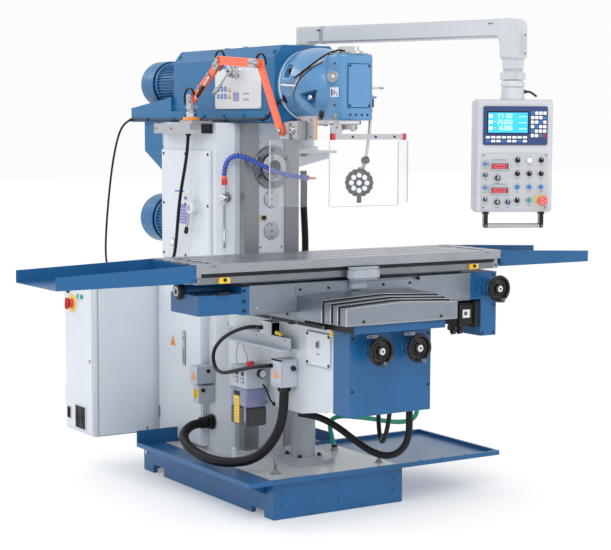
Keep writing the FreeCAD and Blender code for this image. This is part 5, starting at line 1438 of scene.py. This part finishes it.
def knee_details():
    """Trim of the knee: front cover, inspection plate, stop rail, and the brackets on its left side."""
    piece = Sculpt("knee_cover_trim")
    front = -971
    piece.screws((-197, 197), front, (836, 612), FRONT, 6, BLACK_BOLT, 3)
    for low in (-124, 72):
        piece.box((low, low + 54), (front - 1.2, front + 1), (833, 845), PLATE, 0.6)
        piece.box((low + 6, low + 30), (front - 1.7, front - 1), (836.5, 841.5), PRINT_DARK, 0)
        piece.box((low + 36, low + 48), (front - 1.7, front - 1), (837.5, 840.5), PRINT_DARK, 0)
    notch = [(14 * math.cos(math.radians(a)), 862 - 14 * math.sin(math.radians(a)))
             for a in range(0, 181, 15)]
    piece.prism(notch, "Y", front - 0.8, front + 1, BLACK_MATTE, 0.2, 1)
    for x in (-WHEEL_ASIDE, WHEEL_ASIDE):
        piece.lathe([(0, 44), (4, 44), (6, 41), (6, 35)], (x, front, KNEE_WHEELS), FRONT, BLUE, 48)
        for across, up in around(3, 38, 90):
            piece.cap_screw((x + across, front - 6, KNEE_WHEELS + up), FRONT, 3.5, BLACK_BOLT, 2)
    piece.box((-236, 236), (-1041.2, -1038), (865, 901), BLUE, 0.6, 1)
    piece.box((-236, 236), (-1040, -972), (864.4, 867), BLUE, 0.6, 1)
    # The sides of the knee's ways are black: painted shade, a dark sheet standing for the shadow gap under
    # the way cover.
    for low in (-236.2, 233.8):
        piece.box((low, low + 2.4), (-1040, -6), (864.4, 901), BLACK_MATTE, 0.6, 1)
    piece.done("knee")

    side = Sculpt("knee_side_trim")
    face = -217
    side.box((face - 3, face + 1), (-838, -646), (692, 840), WHITE_SHEET, 3)
    side.screws(face - 3, (-826, -658), (704, 828), LEFT, 6.5, BLACK_BOLT, 3.5)
    side.lathe([(0, 17), (3, 17), (5, 15), (5, 11)], (face - 3, -742, 786), LEFT, STEEL, 36, close=False)
    side.lathe([(4.5, 12), (2, 10), (2, 0)], (face - 3, -742, 786), LEFT, BLACK_BOLT, 36, close=False)
    side.lathe([(2, 5), (6, 4.5), (6, 0)], (face - 3, -742, 786), LEFT, STEEL, 4)
    side.box((face - 3.6, face - 2), (-760, -724), (738, 752), PLATE, 0.5)
    side.box((face - 4.0, face - 3.4), (-756, -728), (743, 747), PRINT_DARK, 0)
    side.box((-262, -250), (-862, -80), (866, 884), BLACK_MATTE, 2)
    for y in (-850, -640, -430, -220):
        side.box((-250, -234), (y - 8, y + 8), (868, 882), STEEL, 1)
        side.cap_screw((-262, y, 875), LEFT, 4.5, STEEL, 3)
    side.box((-266, -214), (-600, -568), (862, 874), BLACK_MATTE, 2)
    side.lathe([(0, 10), (5, 10), (6, 7), (24, 7), (26, 4)], (-246, -884, 864), (0, -0.2, -1), YELLOW, 20)
    side.box((-258, -212.5), (-420, -332), (750, 852), BOX_GREY, 3)
    side.screws(-258, (-408, -344), (762, 838), LEFT, 5, STEEL, 4)
    side.box((-266, -257), (-412, -372), (800, 846), PANEL, 2)
    side.lathe([(0, 11), (10, 11), (11, 8.5), (26, 8.5)], (-262, -346, 822), LEFT, BLACK_PLASTIC, 6)
    side.lathe([(0, 9), (16, 9), (18, 6), (30, 6), (32, 8), (40, 8)], (-262, -470, 812), (0, -1, -0.1),
               YELLOW, 20)
    side.screws(-262, (-545, -300, -60), 784, LEFT, 4.5, STEEL, 3)
    side.box((-300.8, -212), (-578.6, -29.4), (740.4, 749.6), BOX_GREY, 0.8)
    side.box((-262.6, -253.4), (-578.6, -29.4), (741, 796.6), BOX_GREY, 0.8)
    for y in (-800, -500, -250):
        side.cap_screw((-212, y, 500 if y < -600 else 482), LEFT, 5, WHITE_CAST, 2)
    side.done("knee")

    box = Sculpt("knee_junction_box_skin")
    box.box((-298, -213), (-571, -486), (580, 696), BOX_GREY, 3)
    box.box((-300, -294), (-573, -484), (590, 702), BOX_GREY, 2)
    box.box((-300, -213), (-573, -484), (694, 702), BOX_GREY, 2)
    box.prism([(-552, 620), (-508, 620), (-530, 662)], "X", -301.2, -299.4, AMBER, 0.8, 1)
    box.lathe([(0, 12), (5, 12), (7, 9), (16, 9), (17, 6)], (-240, -572.5, 664), FRONT, BLACK_PLASTIC, 24)
    box.lathe([(0, 28), (8, 28), (9, 25), (26, 25)], (-257, -528, 582), DOWN, BLACK_PLASTIC, 32)
    for across, along in around(12, 26):
        x, y = -257 + across, -528 + along
        box.box((x - 3, x + 3), (y - 3, y + 3), (560, 578), BLACK_PLASTIC, 1)
    box.lathe([(0, 11), (7, 11), (8, 9)], (-299, -494, 671), LEFT, BLACK_PLASTIC, 6)
    box.done("knee", ("knee_junction_box",))


def lubricator_skin():
    """Pump block with its dials over a smoked tank, half full of dark oil, with a blank yellow label."""
    piece = Sculpt("lubricator_skin")
    piece.box((-330, -227), (-330, -185), (540, 642), BOX_GREY, 4)
    piece.box((-334, -224), (-336, -180), (527, 542), TANK, 4)
    piece.box((-330, -228), (-332, -184), (458, 532), TANK, 5, 3)
    piece.box((-330, -228), (-332, -184), (373, 458.5), TANK_OIL, 5, 3)
    piece.box((-332.4, -329), (-262, -216), (380, 505), YELLOW, 1.2)
    piece.box((-333.2, -330), (-264, -214), (505, 526), BLACK_MATTE, 1.2)
    for k in range(8):
        piece.box((-333, -332), (-254, -224), (392 + 13 * k, 394 + 13 * k), PRINT_DARK, 0)
    piece.box((-331.5, -329), (-322, -306), (392, 516), TANK, 2)
    piece.lathe([(0, 23), (4, 23), (6, 20), (22, 20), (25, 17), (25, 0)], (-296, -300, 640.5), UP, RED, 20,
                close=False)
    piece.lathe([(0, 25), (3, 25), (4, 22)], (-296, -300, 639), UP, BLACK_PLASTIC, 32)
    piece.lathe([(0, 19), (10, 19), (12, 21), (24, 21), (26, 19), (26, 17.5), (24, 17.5)], (-262, -331, 612),
                FRONT, BLACK_PLASTIC, 36, close=False)
    piece.lathe([(24, 17.5), (23, 0)], (-262, -331, 612), FRONT, PLATE, 36, close=False)
    piece.rod((-262, -355, 612), (-254, -355, 622), 0.9, RED, 0.2, 8)
    for (x, z), (far_x, far_z) in zip(around(7, 12, -30, 280), around(7, 15, -30, 280)):
        piece.rod((-262 + x, -355, 612 + z), (-262 + far_x, -355, 612 + far_z), 0.5, PRINT_DARK, 0.1, 6)
    for y in (-300, -250):
        piece.box((-332, -329), (y, y + 20), (600, 618), BLACK_MATTE, 1)
        piece.box((-331.5, -329), (y, y + 26), (566, 590), PRINT_DARK, 0.5)
        piece.box((-332.2, -331), (y + 3, y + 23), (570, 586), PANEL, 0.3)
    piece.box((-229, -213), (-322, -198), (480, 640), BOX_GREY, 2)
    for y, z in ((-312, 492), (-208, 492), (-208, 628)):
        piece.cap_screw((-229, y, z), LEFT, 5, STEEL, 3)
    piece.tube([(-300, -190, 640), (-302, -186, 668), (-296, -180, 704), (-286, -178, 742)], 3, STEEL, 10)
    piece.tube([(-250, -200, 640), (-252, -196, 670), (-262, -188, 706), (-268, -186, 742)], 3, STEEL, 10)
    piece.tube([(-246, -328, 560), (-242, -350, 540), (-234, -368, 500), (-222, -374, 480),
                (-206, -375, 472)], 4, BLACK_RUBBER, 12)
    piece.lathe([(0, 9), (6, 9), (8, 6)], (-213, -375, 474), LEFT, BLACK_PLASTIC, 16)
    piece.done("knee", ("lubricator",))


knee_details()
lubricator_skin()


# ---------------------------------------------------------------- saddle, way covers and table

def saddle_details():
    """Scale strip, screws and oil nipples of the saddle, and the limit switch with its cable."""
    piece = Sculpt("saddle_trim")
    front = -705
    piece.box((-312, 306), (front - 3, front + 1), (1006, 1042), STAINLESS, 1)
    piece.screws((-290, -145, 0, 145, 290), front - 3, 1026, FRONT, 6, BLACK_BOLT, 4)
    piece.box((-538, 635), (front - 1.2, front + 1), (932, 936), GROUND, 0.4, 1)
    for x in (-500, 0, 560):
        piece.lathe([(0, 6), (3, 6), (5, 3), (5, 0)], (x, front, 958), FRONT, STEEL, 20, close=False)
    for side in (-1, 1):
        piece.screws(side * 262, (-670, -560, -450, -370), 904, (side, 0, 0), 6, BLACK_BOLT, 4)
    piece.box((-36, 44), (-727, -704.6), (1017, 1066), BOX_GREY, 2)
    piece.done("saddle")

    switch = Sculpt("limit_switch_skin")
    switch.box((-66, 92), (-764, -727), (1056, 1108), BOX_GREY, 9, 4)
    switch.box((-62, 88), (-760, -730), (1104, 1112), BOX_GREY, 3)
    switch.box((-34, 44), (-727.8, -705.6), (1018, 1060), BOX_GREY, 2)
    switch.screws((-52, 78), -764, (1098, 1066), FRONT, 4, STEEL, 2)
    switch.tube([(90, -741, 1072), (120, -736, 1066), (170, -728, 1062), (240, -724, 1062), (300, -724, 1062),
                 (322, -720, 1058), (330, -716, 1050)],
                4.5, BLACK_RUBBER, 12)
    switch.lathe([(0, 9), (10, 9), (11, 7), (20, 7), (21, 5)], (88, -741, 1073), (1, 0.1, -0.2),
                 BLACK_PLASTIC, 6)
    switch.lathe([(0, 9), (8, 9), (9, 7), (18, 6)], (330, -716, 1040), (-0.1, -0.1, 1), BLACK_PLASTIC, 6)
    switch.done("saddle", ("limit_switch",))


def screw_housing_details():
    """Blue housings at both ends of the table's screw, with their bolts, seals and the drive's cover."""
    piece = Sculpt("table_screw_trim")
    piece.screws(-566, -705, (950, 990, 1034), FRONT, 7, BLACK_BOLT, 4)
    piece.box((-577, -573), (-706, -463), (931, 1051), BLUE, 1)
    piece.lathe([(0, 27), (3, 34), (10, 36), (26, 36), (30, 33)], (-802, -545, 1030), RIGHT, BLACK_MATTE, 48)
    piece.lathe([(0, 22), (1.5, 22), (1.5, 12), (-3, 10), (-3, 0)], (-802, -545, 1030), LEFT, STEEL, 40,
                close=False)
    piece.screws((-760, -700, -640), -650, 1022, UP, 6, BLACK_BOLT, 3)
    piece.box((-770, -600), (-706, -702), (950, 1010), BLUE)
    piece.box((-700, -640), (-716, -704), (1022, 1034), BLACK_MATTE, 2)
    for x, z in ((660, 1040), (770, 1040), (660, 945), (776, 770), (776, 900), (712, 770)):
        piece.cap_screw((x, -703, z), FRONT, 6, BLUE if x == 660 else BLACK_BOLT, 3)
    piece.lathe([(0, 47), (5, 47), (7, 44), (34, 43), (36, 40), (36, 20)],
                (TABLE_WHEEL[0], -704, TABLE_WHEEL[1]), FRONT, BLUE, 56)
    for across, up in around(4, 39, 45):
        piece.cap_screw((TABLE_WHEEL[0] + across, -740, TABLE_WHEEL[1] + up), FRONT, 4, BLACK_BOLT, 2.5)
    piece.box((698, 792), (-542, -536), (760, 930), BLACK_MATTE, 2)
    piece.done("saddle")


def feed_motor_skin():
    """Servo motor: ribbed square body, end bell, blank plate, and two elbow connectors underneath."""
    piece = Sculpt("feed_motor_skin")
    piece.box((668, 699.6), (-696, -574), (800, 922), BLACK_MATTE, 4)
    piece.box((582, 669), (-688, -582), (808, 914), BLACK_MATTE, 7)
    for k in range(7):
        piece.box((584, 666), (-691, -579), (814 + 14 * k, 819 + 14 * k), BLACK_MATTE, 1)
    piece.box((560, 584), (-684, -586), (812, 910), BLACK_MATTE, 9, 3)
    piece.box((604, 646), (-692.5, -690), (846, 884), PLATE, 0.5)
    piece.box((612, 630), (-693, -692), (858, 874), PRINT_DARK, 0)
    piece.screws(668, (-688, -582), (812, 910), LEFT, 5, BLACK_BOLT, 4)
    for x in (588, 624):
        piece.box((x - 14, x + 14), (-662, -612), (784, 809), BLACK_PLASTIC, 4)
        piece.lathe([(0, 14), (4, 16), (12, 16), (14, 13), (22, 13)], (x, -640, 788), (0, -0.3, -1),
                    BLACK_PLASTIC, 24)
    piece.done("saddle", ("feed_motor",))


def table_details():
    """The table's grooves, darkened with painted shade, its scale, its stop dogs, and the trim of its trays.
    """
    piece = Sculpt("table_trim")
    front, low, top = -720, 1070, 1154
    # Black sheets at the bottom of the front groove and of the slots near the ends: painted shade for these
    # recesses.
    piece.box((-770, 770), (front + 10.5, front + 13), (1099, 1113), BLACK_MATTE, 0)
    piece.box((-796, 756), (front + 3, front + 5.6), (1071, 1097), GROUND, 0.6)
    for x in (-720, 720):
        for y in (-690, -520, -350):
            piece.box((x - 11, x + 11), (y - 36, y + 36), (top - 10.4, top - 9.6), BLACK_MATTE, 0)
    piece.screws((-790, 786), front + 5, 1084, FRONT, 5, STEEL, 3)
    piece.done("table_slide")
    dogs = Sculpt("stop_dogs_skin")
    for middle in (-670, 640):
        outline = [(middle + x, z) for x, z in ((-26, 1072), (26, 1072), (26, 1094), (16, 1097), (-16, 1097),
                                                (-26, 1094))]
        dogs.prism(outline, "Y", front - 7, front + 4.4, YELLOW, 1.5)
        dogs.box((middle - 26, middle - 8), (front - 7, front + 4), (1094, 1097), YELLOW, 0.8)
        dogs.cap_screw((middle, front - 7, 1087), FRONT, 7.5, BLACK_BOLT, 5)
    dogs.done("table_slide", ("stop_dogs",))
    trays = Sculpt("table_tray_trim")
    for side in (-1, 1):
        for y, direction in ((front, FRONT), (front + 397, BACK)):
            trays.screws(side * 812, y, (1092, 1128), direction, 4.5, BLUE, 2.5)
        trays.box((side * 800.8, side * 803.5), (front + 3, front + 397), (1081, 1148), BLUE, 0.4, 1)
    trays.done("table_slide")


def way_cover_screws():
    """Bright front edges and side screws of the telescoping plates."""
    for name, body, front, half, eaves in (("way_cover_front", "knee", -1057, 286, 976),
                                           ("way_cover_second", "cover_second", -1003, 292, 983),
                                           ("way_cover_third", "cover_third", -959, 298,
                                            990), ("way_cover_rear", "saddle", -901, 304, 997)):
        piece = Sculpt(name + "_trim")
        if name == "way_cover_front":
            piece.screws((-200, 200), front, 918, FRONT, 6, BLACK_BOLT, 3)
            piece.box((-284, 284), (front - 1.4, front + 1), (903, 907), STEEL, 0.4, 1)
        crown = [(-(half + 0.3), eaves - 3), (-(half + 0.3), eaves), (0, eaves + 14.4), (half + 0.3, eaves),
                 (half + 0.3, eaves - 3),
                 (half - 2, eaves - 2), (0, eaves + 12), (-(half - 2), eaves - 2)]
        piece.prism(crown, "Y", front - 0.6, front + 5, CHROME, 0.3, 1)
        for side in (-1, 1):
            piece.box((side * (half - 1), side * (half + 0.5)), (front - 0.6, front + 5), (902, eaves),
                      CHROME, 0.2, 1)
            piece.cap_screw((side * half, front + 22, 912), (side, 0, 0), 4, STEEL, 2)
        piece.done(body)


saddle_details()
screw_housing_details()
feed_motor_skin()
table_details()
way_cover_screws()


# ---------------------------------------------------------------- base, pedestal and column

PEDESTAL = -282                   # depth of the pedestal's upright axis


def base_details():
    """Deck of the base, its plugs and screws, and the feet of the pedestal and the coolant hose."""
    piece = Sculpt("base_deck")
    piece.box((-336, 336), (-572, 448), (170, 172.4), BASE_DECK, 0.8)
    for x, y in ((-252, -449), (290, -481), (290, 600)):
        piece.lathe([(0, 24), (4, 24), (5, 22)], (x, y, 171), UP, STEEL, 32)
    piece.lathe([(0, 11), (76, 11), (79, 9), (79, 0)], (-306, -170, 172), UP, WHITE_CAST, 24, close=False)
    for k in range(9):
        piece.lathe([(6 + 8 * k, 11), (8 + 8 * k, 12), (10 + 8 * k, 11)], (-306, -170, 172), UP, WHITE_CAST,
                    24, close=False)
    for across, along in around(4, 76, 45):
        piece.hex_nut((across, PEDESTAL + along, 204), UP, 11, BLACK_BOLT, 9, 5)
    piece.lathe([(0, 60), (10, 60), (12, 57)], (0, PEDESTAL, 590), UP, PEDESTAL_GREY, 48)
    piece.screws((430, 560, 690, 820), -612, 187, UP, 5, BLUE, 2)
    for z in (60, 110):
        for x in (-300, 0, 300):
            piece.lathe([(0, 9), (3, 9), (4, 7)], (x, -588, z), FRONT, BLUE, 6)
    piece.rod((262, -150, 171), (262, -150, 190), 18, STEEL, 2)
    piece.lathe([(0, 15), (10, 15), (12, 12)], (262, -150, 189), UP, BLACK_PLASTIC, 24)
    piece.done("frame")


def column_details():
    """Machined ways, flange screws, covers, blank plates and the side door's latch of the column."""
    piece = Sculpt("column_trim")
    for side in (-1, 1):
        piece.box((side * 73, side * 149.6), (-0.9, 0.6), (187, 1734), WAY, 0.3, 1)
        piece.box((side * 149.4, side * 150.8), (0, 41), (187, 1734), WAY, 0.3, 1)
        piece.box((side * 71.4, side * 72.6), (0, 7.6), (187, 1734), WAY, 0.3, 1)
    piece.screws((-58, 58), 8, (1700, 1640, 1150, 1060), FRONT, 4.5, STEEL, 2.5)
    flange = Vector((0, -8, 1526))        # nose of the horizontal spindle
    for across, up in around(6, 82, 30):
        piece.cap_screw((across, -8.5, flange.z + up), FRONT, 9.5, BLACK_BOLT, 6)
    piece.lathe([(0, 99.6), (1.4, 98), (1.6, 70), (0.4, 66)], flange + Vector((0, 0.4, 0)), FRONT, GROUND, 72,
                close=False)
    for height in (1376, 1226):
        piece.lathe([(0, 39), (1.4, 37.6), (1.6, 6), (0, 5), (0, 0)], (0, 1.2, height), FRONT, STEEL, 56,
                    close=False)
        piece.screws(0, 0, (height - 28, height + 28), FRONT, 3.5, BLACK_BOLT, 1.5)
    knob = Vector((-46, 8, 1290))
    piece.lathe([(0, 13), (4, 13), (5, 11)], knob, FRONT, YELLOW, 28)
    piece.lathe([(4, 9), (8, 9), (10, 11), (18, 11), (20, 9), (20, 0)], knob, FRONT, BLACK_PLASTIC, 28,
                close=False)
    cover = -240
    piece.screws(cover, (188, 411, 636), (1584, 1340, 1092), LEFT, 6.5, BLACK_BOLT, 3.5)
    piece.box((cover - 1.4, cover + 0.5), (360, 540), (1392, 1412), PLATE, 0.5)
    piece.box((cover - 1.8, cover - 1), (420, 520), (1398, 1406), PRINT_BLUE, 0.2, 1)
    piece.box((cover - 1.4, cover + 0.5), (384, 478), (1354, 1386), PLATE, 0.5)
    piece.box((cover - 1.8, cover - 1), (392, 424), (1362, 1378), PRINT_BLUE, 0.2, 1)
    piece.box((cover - 1.8, cover - 1), (384, 478), (1246, 1338), PRINT_VIOLET, 0.5)
    for k in range(5):
        piece.box((cover - 2.3, cover - 1.6), (392, 470), (1256 + 15 * k, 1258 + 15 * k), PLATE, 0)
    piece.box((cover - 1, cover + 0.5), (176, 200), (1110, 1560), WHITE_SHEET, 0.8)
    piece.lathe([(0, 19), (4, 19), (5, 17)], (cover, 540, 1150), LEFT, STEEL, 36)
    piece.lathe([(4, 13), (6, 13), (6, 0)], (cover, 540, 1150), LEFT, LENS, 30, close=False)
    piece.lathe([(0, 16), (10, 16), (12, 13), (12, 7), (22, 7)], (-231, 300, 1040), LEFT, STEEL, 6)
    side_door = -262
    piece.box((side_door - 2, side_door + 1), (214, 646), (194, 1002), WHITE_SHEET, 3)
    piece.box((side_door - 7, side_door - 1), (368, 400), (556, 724), BOX_GREY, 4)
    for k in range(7):
        piece.box((side_door - 8.2, side_door - 6), (375, 393), (570 + 11 * k, 576 + 11 * k), PRINT_DARK, 0.8,
                  1)
    piece.lathe([(0, 9), (2, 9), (3, 7)], (side_door - 7, 384, 690), LEFT, STEEL, 24)
    piece.prism([(470, 640), (530, 640), (500, 694)], "X", side_door - 2.6, side_door - 1, AMBER, 0.6, 1)
    for z in (260, 930):
        piece.box((side_door - 6, side_door + 2), (640, 656), (z, z + 60), STEEL, 2)
    piece.box((-232, 232), (652, 664), (1620, 1716), WHITE_CAST, 3)
    for side in (-1, 1):
        piece.screws(side * 200, (110, 250, 390, 530), 1735, UP, 8, BLACK_BOLT, 5)
    piece.screws(231, 220, (1180, 900, 600, 320), RIGHT, 7, WHITE_CAST, 3)
    piece.box((228, 234), (250, 610), (1060, 1560), WHITE_SHEET, 3)
    piece.screws(234, (268, 592), (1080, 1310, 1540), RIGHT, 6.5, BLACK_BOLT, 3.5)
    piece.box((228, 236), (250, 610), (420, 960), WHITE_SHEET, 3)
    for k in range(9):
        piece.box((235, 237.5), (300, 560), (500 + 26 * k, 508 + 26 * k), BLACK_MATTE, 1)
    piece.done("frame")

    bracket = Sculpt("pendant_bracket_trim")
    bracket.screws(232, (212, 300), (1520, 1570), RIGHT, 6, BLACK_BOLT, 4)
    for across, along in around(4, 50, 45):
        bracket.cap_screw((POST[0] + across, POST[1] + along, 1615), UP, 6, BLACK_BOLT, 4)
    bracket.lathe([(0, 60), (3, 62), (13, 62), (16, 59)], (*POST, 1599.6), UP, WHITE_SHEET_SHADED, 48)
    bracket.lathe([(0, 40), (2, 42), (30, 42), (34, 39)], (*POST, 1616), UP, WHITE_SHEET_SHADED, 48)
    bracket.lathe([(0, 20), (12, 20), (14, 17)], (335, 250, 1586), DOWN, BLACK_PLASTIC, 6)
    bracket.lathe([(-12, 24), (4, 24), (6, 20)], (242, 336, 660), (0.7, -0.35, 0.4), BLACK_PLASTIC, 24)
    bracket.done("frame")


def speed_lever_skin():
    """White hub and bent lever of the speed selector."""
    piece = Sculpt("speed_lever_skin")
    hub = Vector((-261, 304, 1329))
    piece.lathe([(0, 31), (4, 33), (14, 33), (19, 29), (21, 22), (21, 0)], hub, LEFT, WHITE_SHEET, 48,
                close=False)
    piece.lathe([(20, 13), (24, 13), (25, 11), (25, 0)], hub, LEFT, STEEL, 32, close=False)
    piece.tube([(-274, 306, 1322), (-275, 316, 1290), (-274, 332, 1246), (-274, 342, 1218)], 6, STEEL, 16)
    piece.lathe([(0, 7), (4, 9), (22, 11), (32, 10), (36, 5), (37, 0)], (-274, 336, 1236), (0, 0.3, -1),
                BLACK_PLASTIC, 28, close=False)
    piece.done("selector", ("speed_lever",))


def coolant_skin():
    """Coolant supply: a braided pipe, a ball mount, a red tap, and a jointed blue line with its nozzle."""
    piece = Sculpt("coolant_pipe_skin")
    x, y = -222, 66
    flank = Vector((68, 62, 0)).normalized()
    hold = Vector((x, y, 1385))
    piece.rod(hold, hold + flank * 36.6, 12, STEEL)
    piece.lathe([(0, 26), (5, 26), (7, 23)], hold + flank * 36, -flank, STEEL, 36)
    piece.ball(hold, 21, CHROME)
    piece.rod((x, y, 1160), (x, y, 1370), 6, ALUMINIUM, 1)
    turns = []
    for k in range(300):
        turn = k * 0.9
        turns.append(Vector((x + 6.6 * math.cos(turn), y + 6.6 * math.sin(turn), 1164 + k * 0.68)))
    piece.tube(turns, 1.3, STEEL, 6, False)
    for z in (1160, 1364):
        piece.lathe([(0, 9.5), (12, 9.5), (14, 7)], (x, y, z - 8), UP, CHROME, 6)
    piece.rod((x, y, 1400), (x, y, 1446), 8.5, CHROME)
    piece.lathe([(0, 12), (10, 12), (12, 10), (14, 12), (26, 12), (28, 9)], (x, y, 1444), UP, RED, 12)
    piece.rod((x, y, 1458), (x - 8, y - 24, 1458), 5, RED, 1)
    piece.box((x - 14, x), (y - 34, y - 22), (1446, 1476), RED, 3)
    piece.lathe([(0, 12.5), (14, 12.5), (17, 9)], (x, y, 1472), UP, HOSE_ORANGE, 24)
    route = [(-222, 66, 1488), (-222, 60, 1545), (-196, 20, 1586), (-150, -28, 1572), (-90, -70, 1534),
             (-20, -112, 1500),
             (50, -146, 1484), (100, -160, 1480)]
    line = evenly(centreline(route), 0.0035)[0]
    link = (0.62, 0.88, 1.0, 0.97, 0.80)
    piece.take(swept([p / MM for p in line], lambda k: 13 * link[k % 5], 24), HOSE_BLUE)
    tip, aim = line[-1] / MM, (line[-1] - line[-3]).normalized()
    piece.lathe([(-6, 10), (-2, 11), (4, 10), (6, 7.5), (38, 4), (40, 2.6), (40, 0)], tip, aim, HOSE_ORANGE,
                24, close=False)
    piece.done("frame", ("coolant_pipe",))


def junction_details():
    """Two junction boxes and the conduit elbow on the column, and the small valves beside them."""
    piece = Sculpt("junction_boxes_skin")
    piece.box((-326, -231), (136, 204), (501, 585), BOX_GREY, 2.5)
    piece.box((-330, -324), (134, 206), (499, 587), BOX_GREY, 2)
    piece.prism([(148, 520), (192, 520), (170, 562)], "X", -331.2, -329.6, AMBER, 0.8, 1)
    piece.box((-314, -231), (141, 195), (406, 491), BOX_GREY, 2.5)
    piece.box((-318, -312), (139, 197), (404, 493), BOX_GREY, 2)
    piece.lathe([(0, 22), (3, 22), (4, 20)], (-317, 168, 452), LEFT, YELLOW, 32)
    piece.box((-330, -318), (162, 174), (432, 474), YELLOW, 2.5)
    for gland in ((-296, 140, 470), (-270, 136, 560)):
        piece.lathe([(0, 10), (6, 10), (7, 7), (14, 7)], gland, FRONT, BLACK_PLASTIC, 6)
    piece.rod((-231, 160, 311), (-262, 160, 311), 31, BLACK_PLASTIC, 3)
    piece.lathe([(0, 37), (10, 37), (12, 34)], (-246, 160, 311), RIGHT, BLACK_PLASTIC, 40)
    for k in range(5):
        piece.lathe([(3 + 7 * k, 26), (5 + 7 * k, 28), (8 + 7 * k, 28), (10 + 7 * k, 26)], (-262, 160, 311),
                    (-1, 0, -0.02), BLACK_RUBBER, 32)
    piece.done("frame", ("junction_boxes",))

    valves = Sculpt("column_valves")
    for k in range(2):
        y = 66 - 26 * k
        valves.rod((-186, y, 768), (-186, y, 806), 6, BRASS, 1)
        valves.lathe([(0, 9), (10, 9), (12, 7), (16, 7), (18, 9), (24, 9)], (-186, y, 806), UP, BRASS, 6)
        valves.tube([(-186, y, 768), (-188, y, 700), (-186, y + 4, 620), (-178, y + 20, 560)], 2.6, BRASS, 10)
    valves.box((-196, -168), (24, 84), (786, 798), STEEL, 2)
    valves.done("frame")


def cabinet_details():
    """Panels, glands and screws of the cabinet, its door's fan and buttons, and the main switch."""
    piece = Sculpt("cabinet_trim")
    piece.box((-586, 222), (677, 681), (188, 966), WHITE_SHEET, 2)
    piece.box((224, 227), (690, 1000), (200, 956), WHITE_SHEET)
    piece.screws(227, (704, 986), (214, 580, 942), RIGHT, 5, STEEL, 3)
    piece.box((-560, 200), (1009, 1013), (210, 946), WHITE_SHEET)
    piece.screws((-540, -180, 180), 1013, (226, 930), BACK, 5, STEEL, 3)
    for k in range(8):
        piece.box((-60, 120), (1012, 1016), (780 + 16 * k, 787 + 16 * k), BLACK_MATTE, 1)
    for k in range(4):
        piece.lathe([(0, 15), (8, 15), (10, 11), (22, 11)], (-440 + 60 * k, 860, 186), DOWN, BLACK_PLASTIC, 6)
    piece.lathe([(0, 14), (10, 14), (12, 11)], (-416, 892, 969), UP, BLACK_PLASTIC, 6)
    piece.lathe([(0, 13), (8, 13), (10, 10)], (-300, 490, 1026), (0, -0.2, 1), BLACK_PLASTIC, 6)
    piece.done("frame")

    door = Sculpt("cabinet_door_trim")
    face = -611
    main_switch = (920, 830)
    fan = (822, 265)
    door.box((face - 2, face + 1), (690, 1000), (195, 960), WHITE_SHEET, 2.5)
    door.box((face - 9, face - 1), (762, 882), (205, 325), BLACK_MATTE, 4)
    for radius in (16, 28, 40, 52):
        door.lathe([(8, radius - 1.6), (11, radius - 1), (11, radius + 1), (8, radius + 1.6)], (face, *fan),
                   LEFT, BLACK_BOLT, 40, close=False)
    for (y, z), (far_y, far_z) in zip(around(4, 12, 45), around(4, 76, 45)):
        door.rod((face - 9.6, fan[0] + y, fan[1] + z), (face - 9.6, fan[0] + far_y, fan[1] + far_z), 2,
                 BLACK_BOLT, 0.4, 8)
    door.box((face - 6, face + 1), (940, 985), (240, 300), BLACK_MATTE, 2)
    door.box((face - 8, face + 1), (950, 985), (878, 930), BLACK_MATTE, 3)
    for y in (842, 802):
        door.lathe([(0, 15), (3, 15), (4, 12)], (face, y, 872), LEFT, CHROME, 32)
        door.lathe([(3, 11), (10, 11), (13, 7), (13, 0)], (face, y, 872), LEFT, BUTTON_GREEN, 28, close=False)
    door.lathe([(0, 46), (4, 46), (6, 43), (6, 30)], (face, *main_switch), LEFT, YELLOW, 48)
    door.lathe([(0, 9), (5, 9), (7, 7)], (face - 1, 716, 560), LEFT, STEEL, 28)
    door.done("door")

    switch = Sculpt("main_switch_skin")
    centre = Vector((face - 6.6, *main_switch))
    switch.lathe([(0, 27), (3, 26), (6, 22), (12, 20), (14, 18), (14, 0)], centre, LEFT, RED, 44, close=False)
    switch.box((face - 42, face - 18), (913, 927), (802, 858), RED, 4)
    switch.box((face - 42.6, face - 41), (918.5, 921.5), (836, 854), BUTTON_WHITE, 0.3, 1)
    switch.done("switch", ("main_switch",))


def guard_bracket_details():
    """Screws and end caps of the rail that carries the guard's pole."""
    piece = Sculpt("guard_bracket_trim")
    piece.screws(-292, (200, 300, 460, 620), 1706, LEFT, 7, STEEL, 5)
    for y in (180, 420, 600):
        piece.lathe([(0, 9), (3, 9), (4, 7)], (-262, y, 1730), UP, STEEL, 6)
    piece.screws((-344, -250), (148, 252), 1743, UP, 5.5, STEEL, 4)
    for depths in ((634, 645), (155, 166)):
        piece.box((-290, -232), depths, (1684, 1728), BLACK_PLASTIC, 2)
    piece.lathe([(0, 13), (10, 13), (12, 9)], (-268, 330, 1682), DOWN, BLACK_PLASTIC, 6)
    piece.done("frame")


base_details()
column_details()
speed_lever_skin()
coolant_skin()
junction_details()
cabinet_details()
guard_bracket_details()
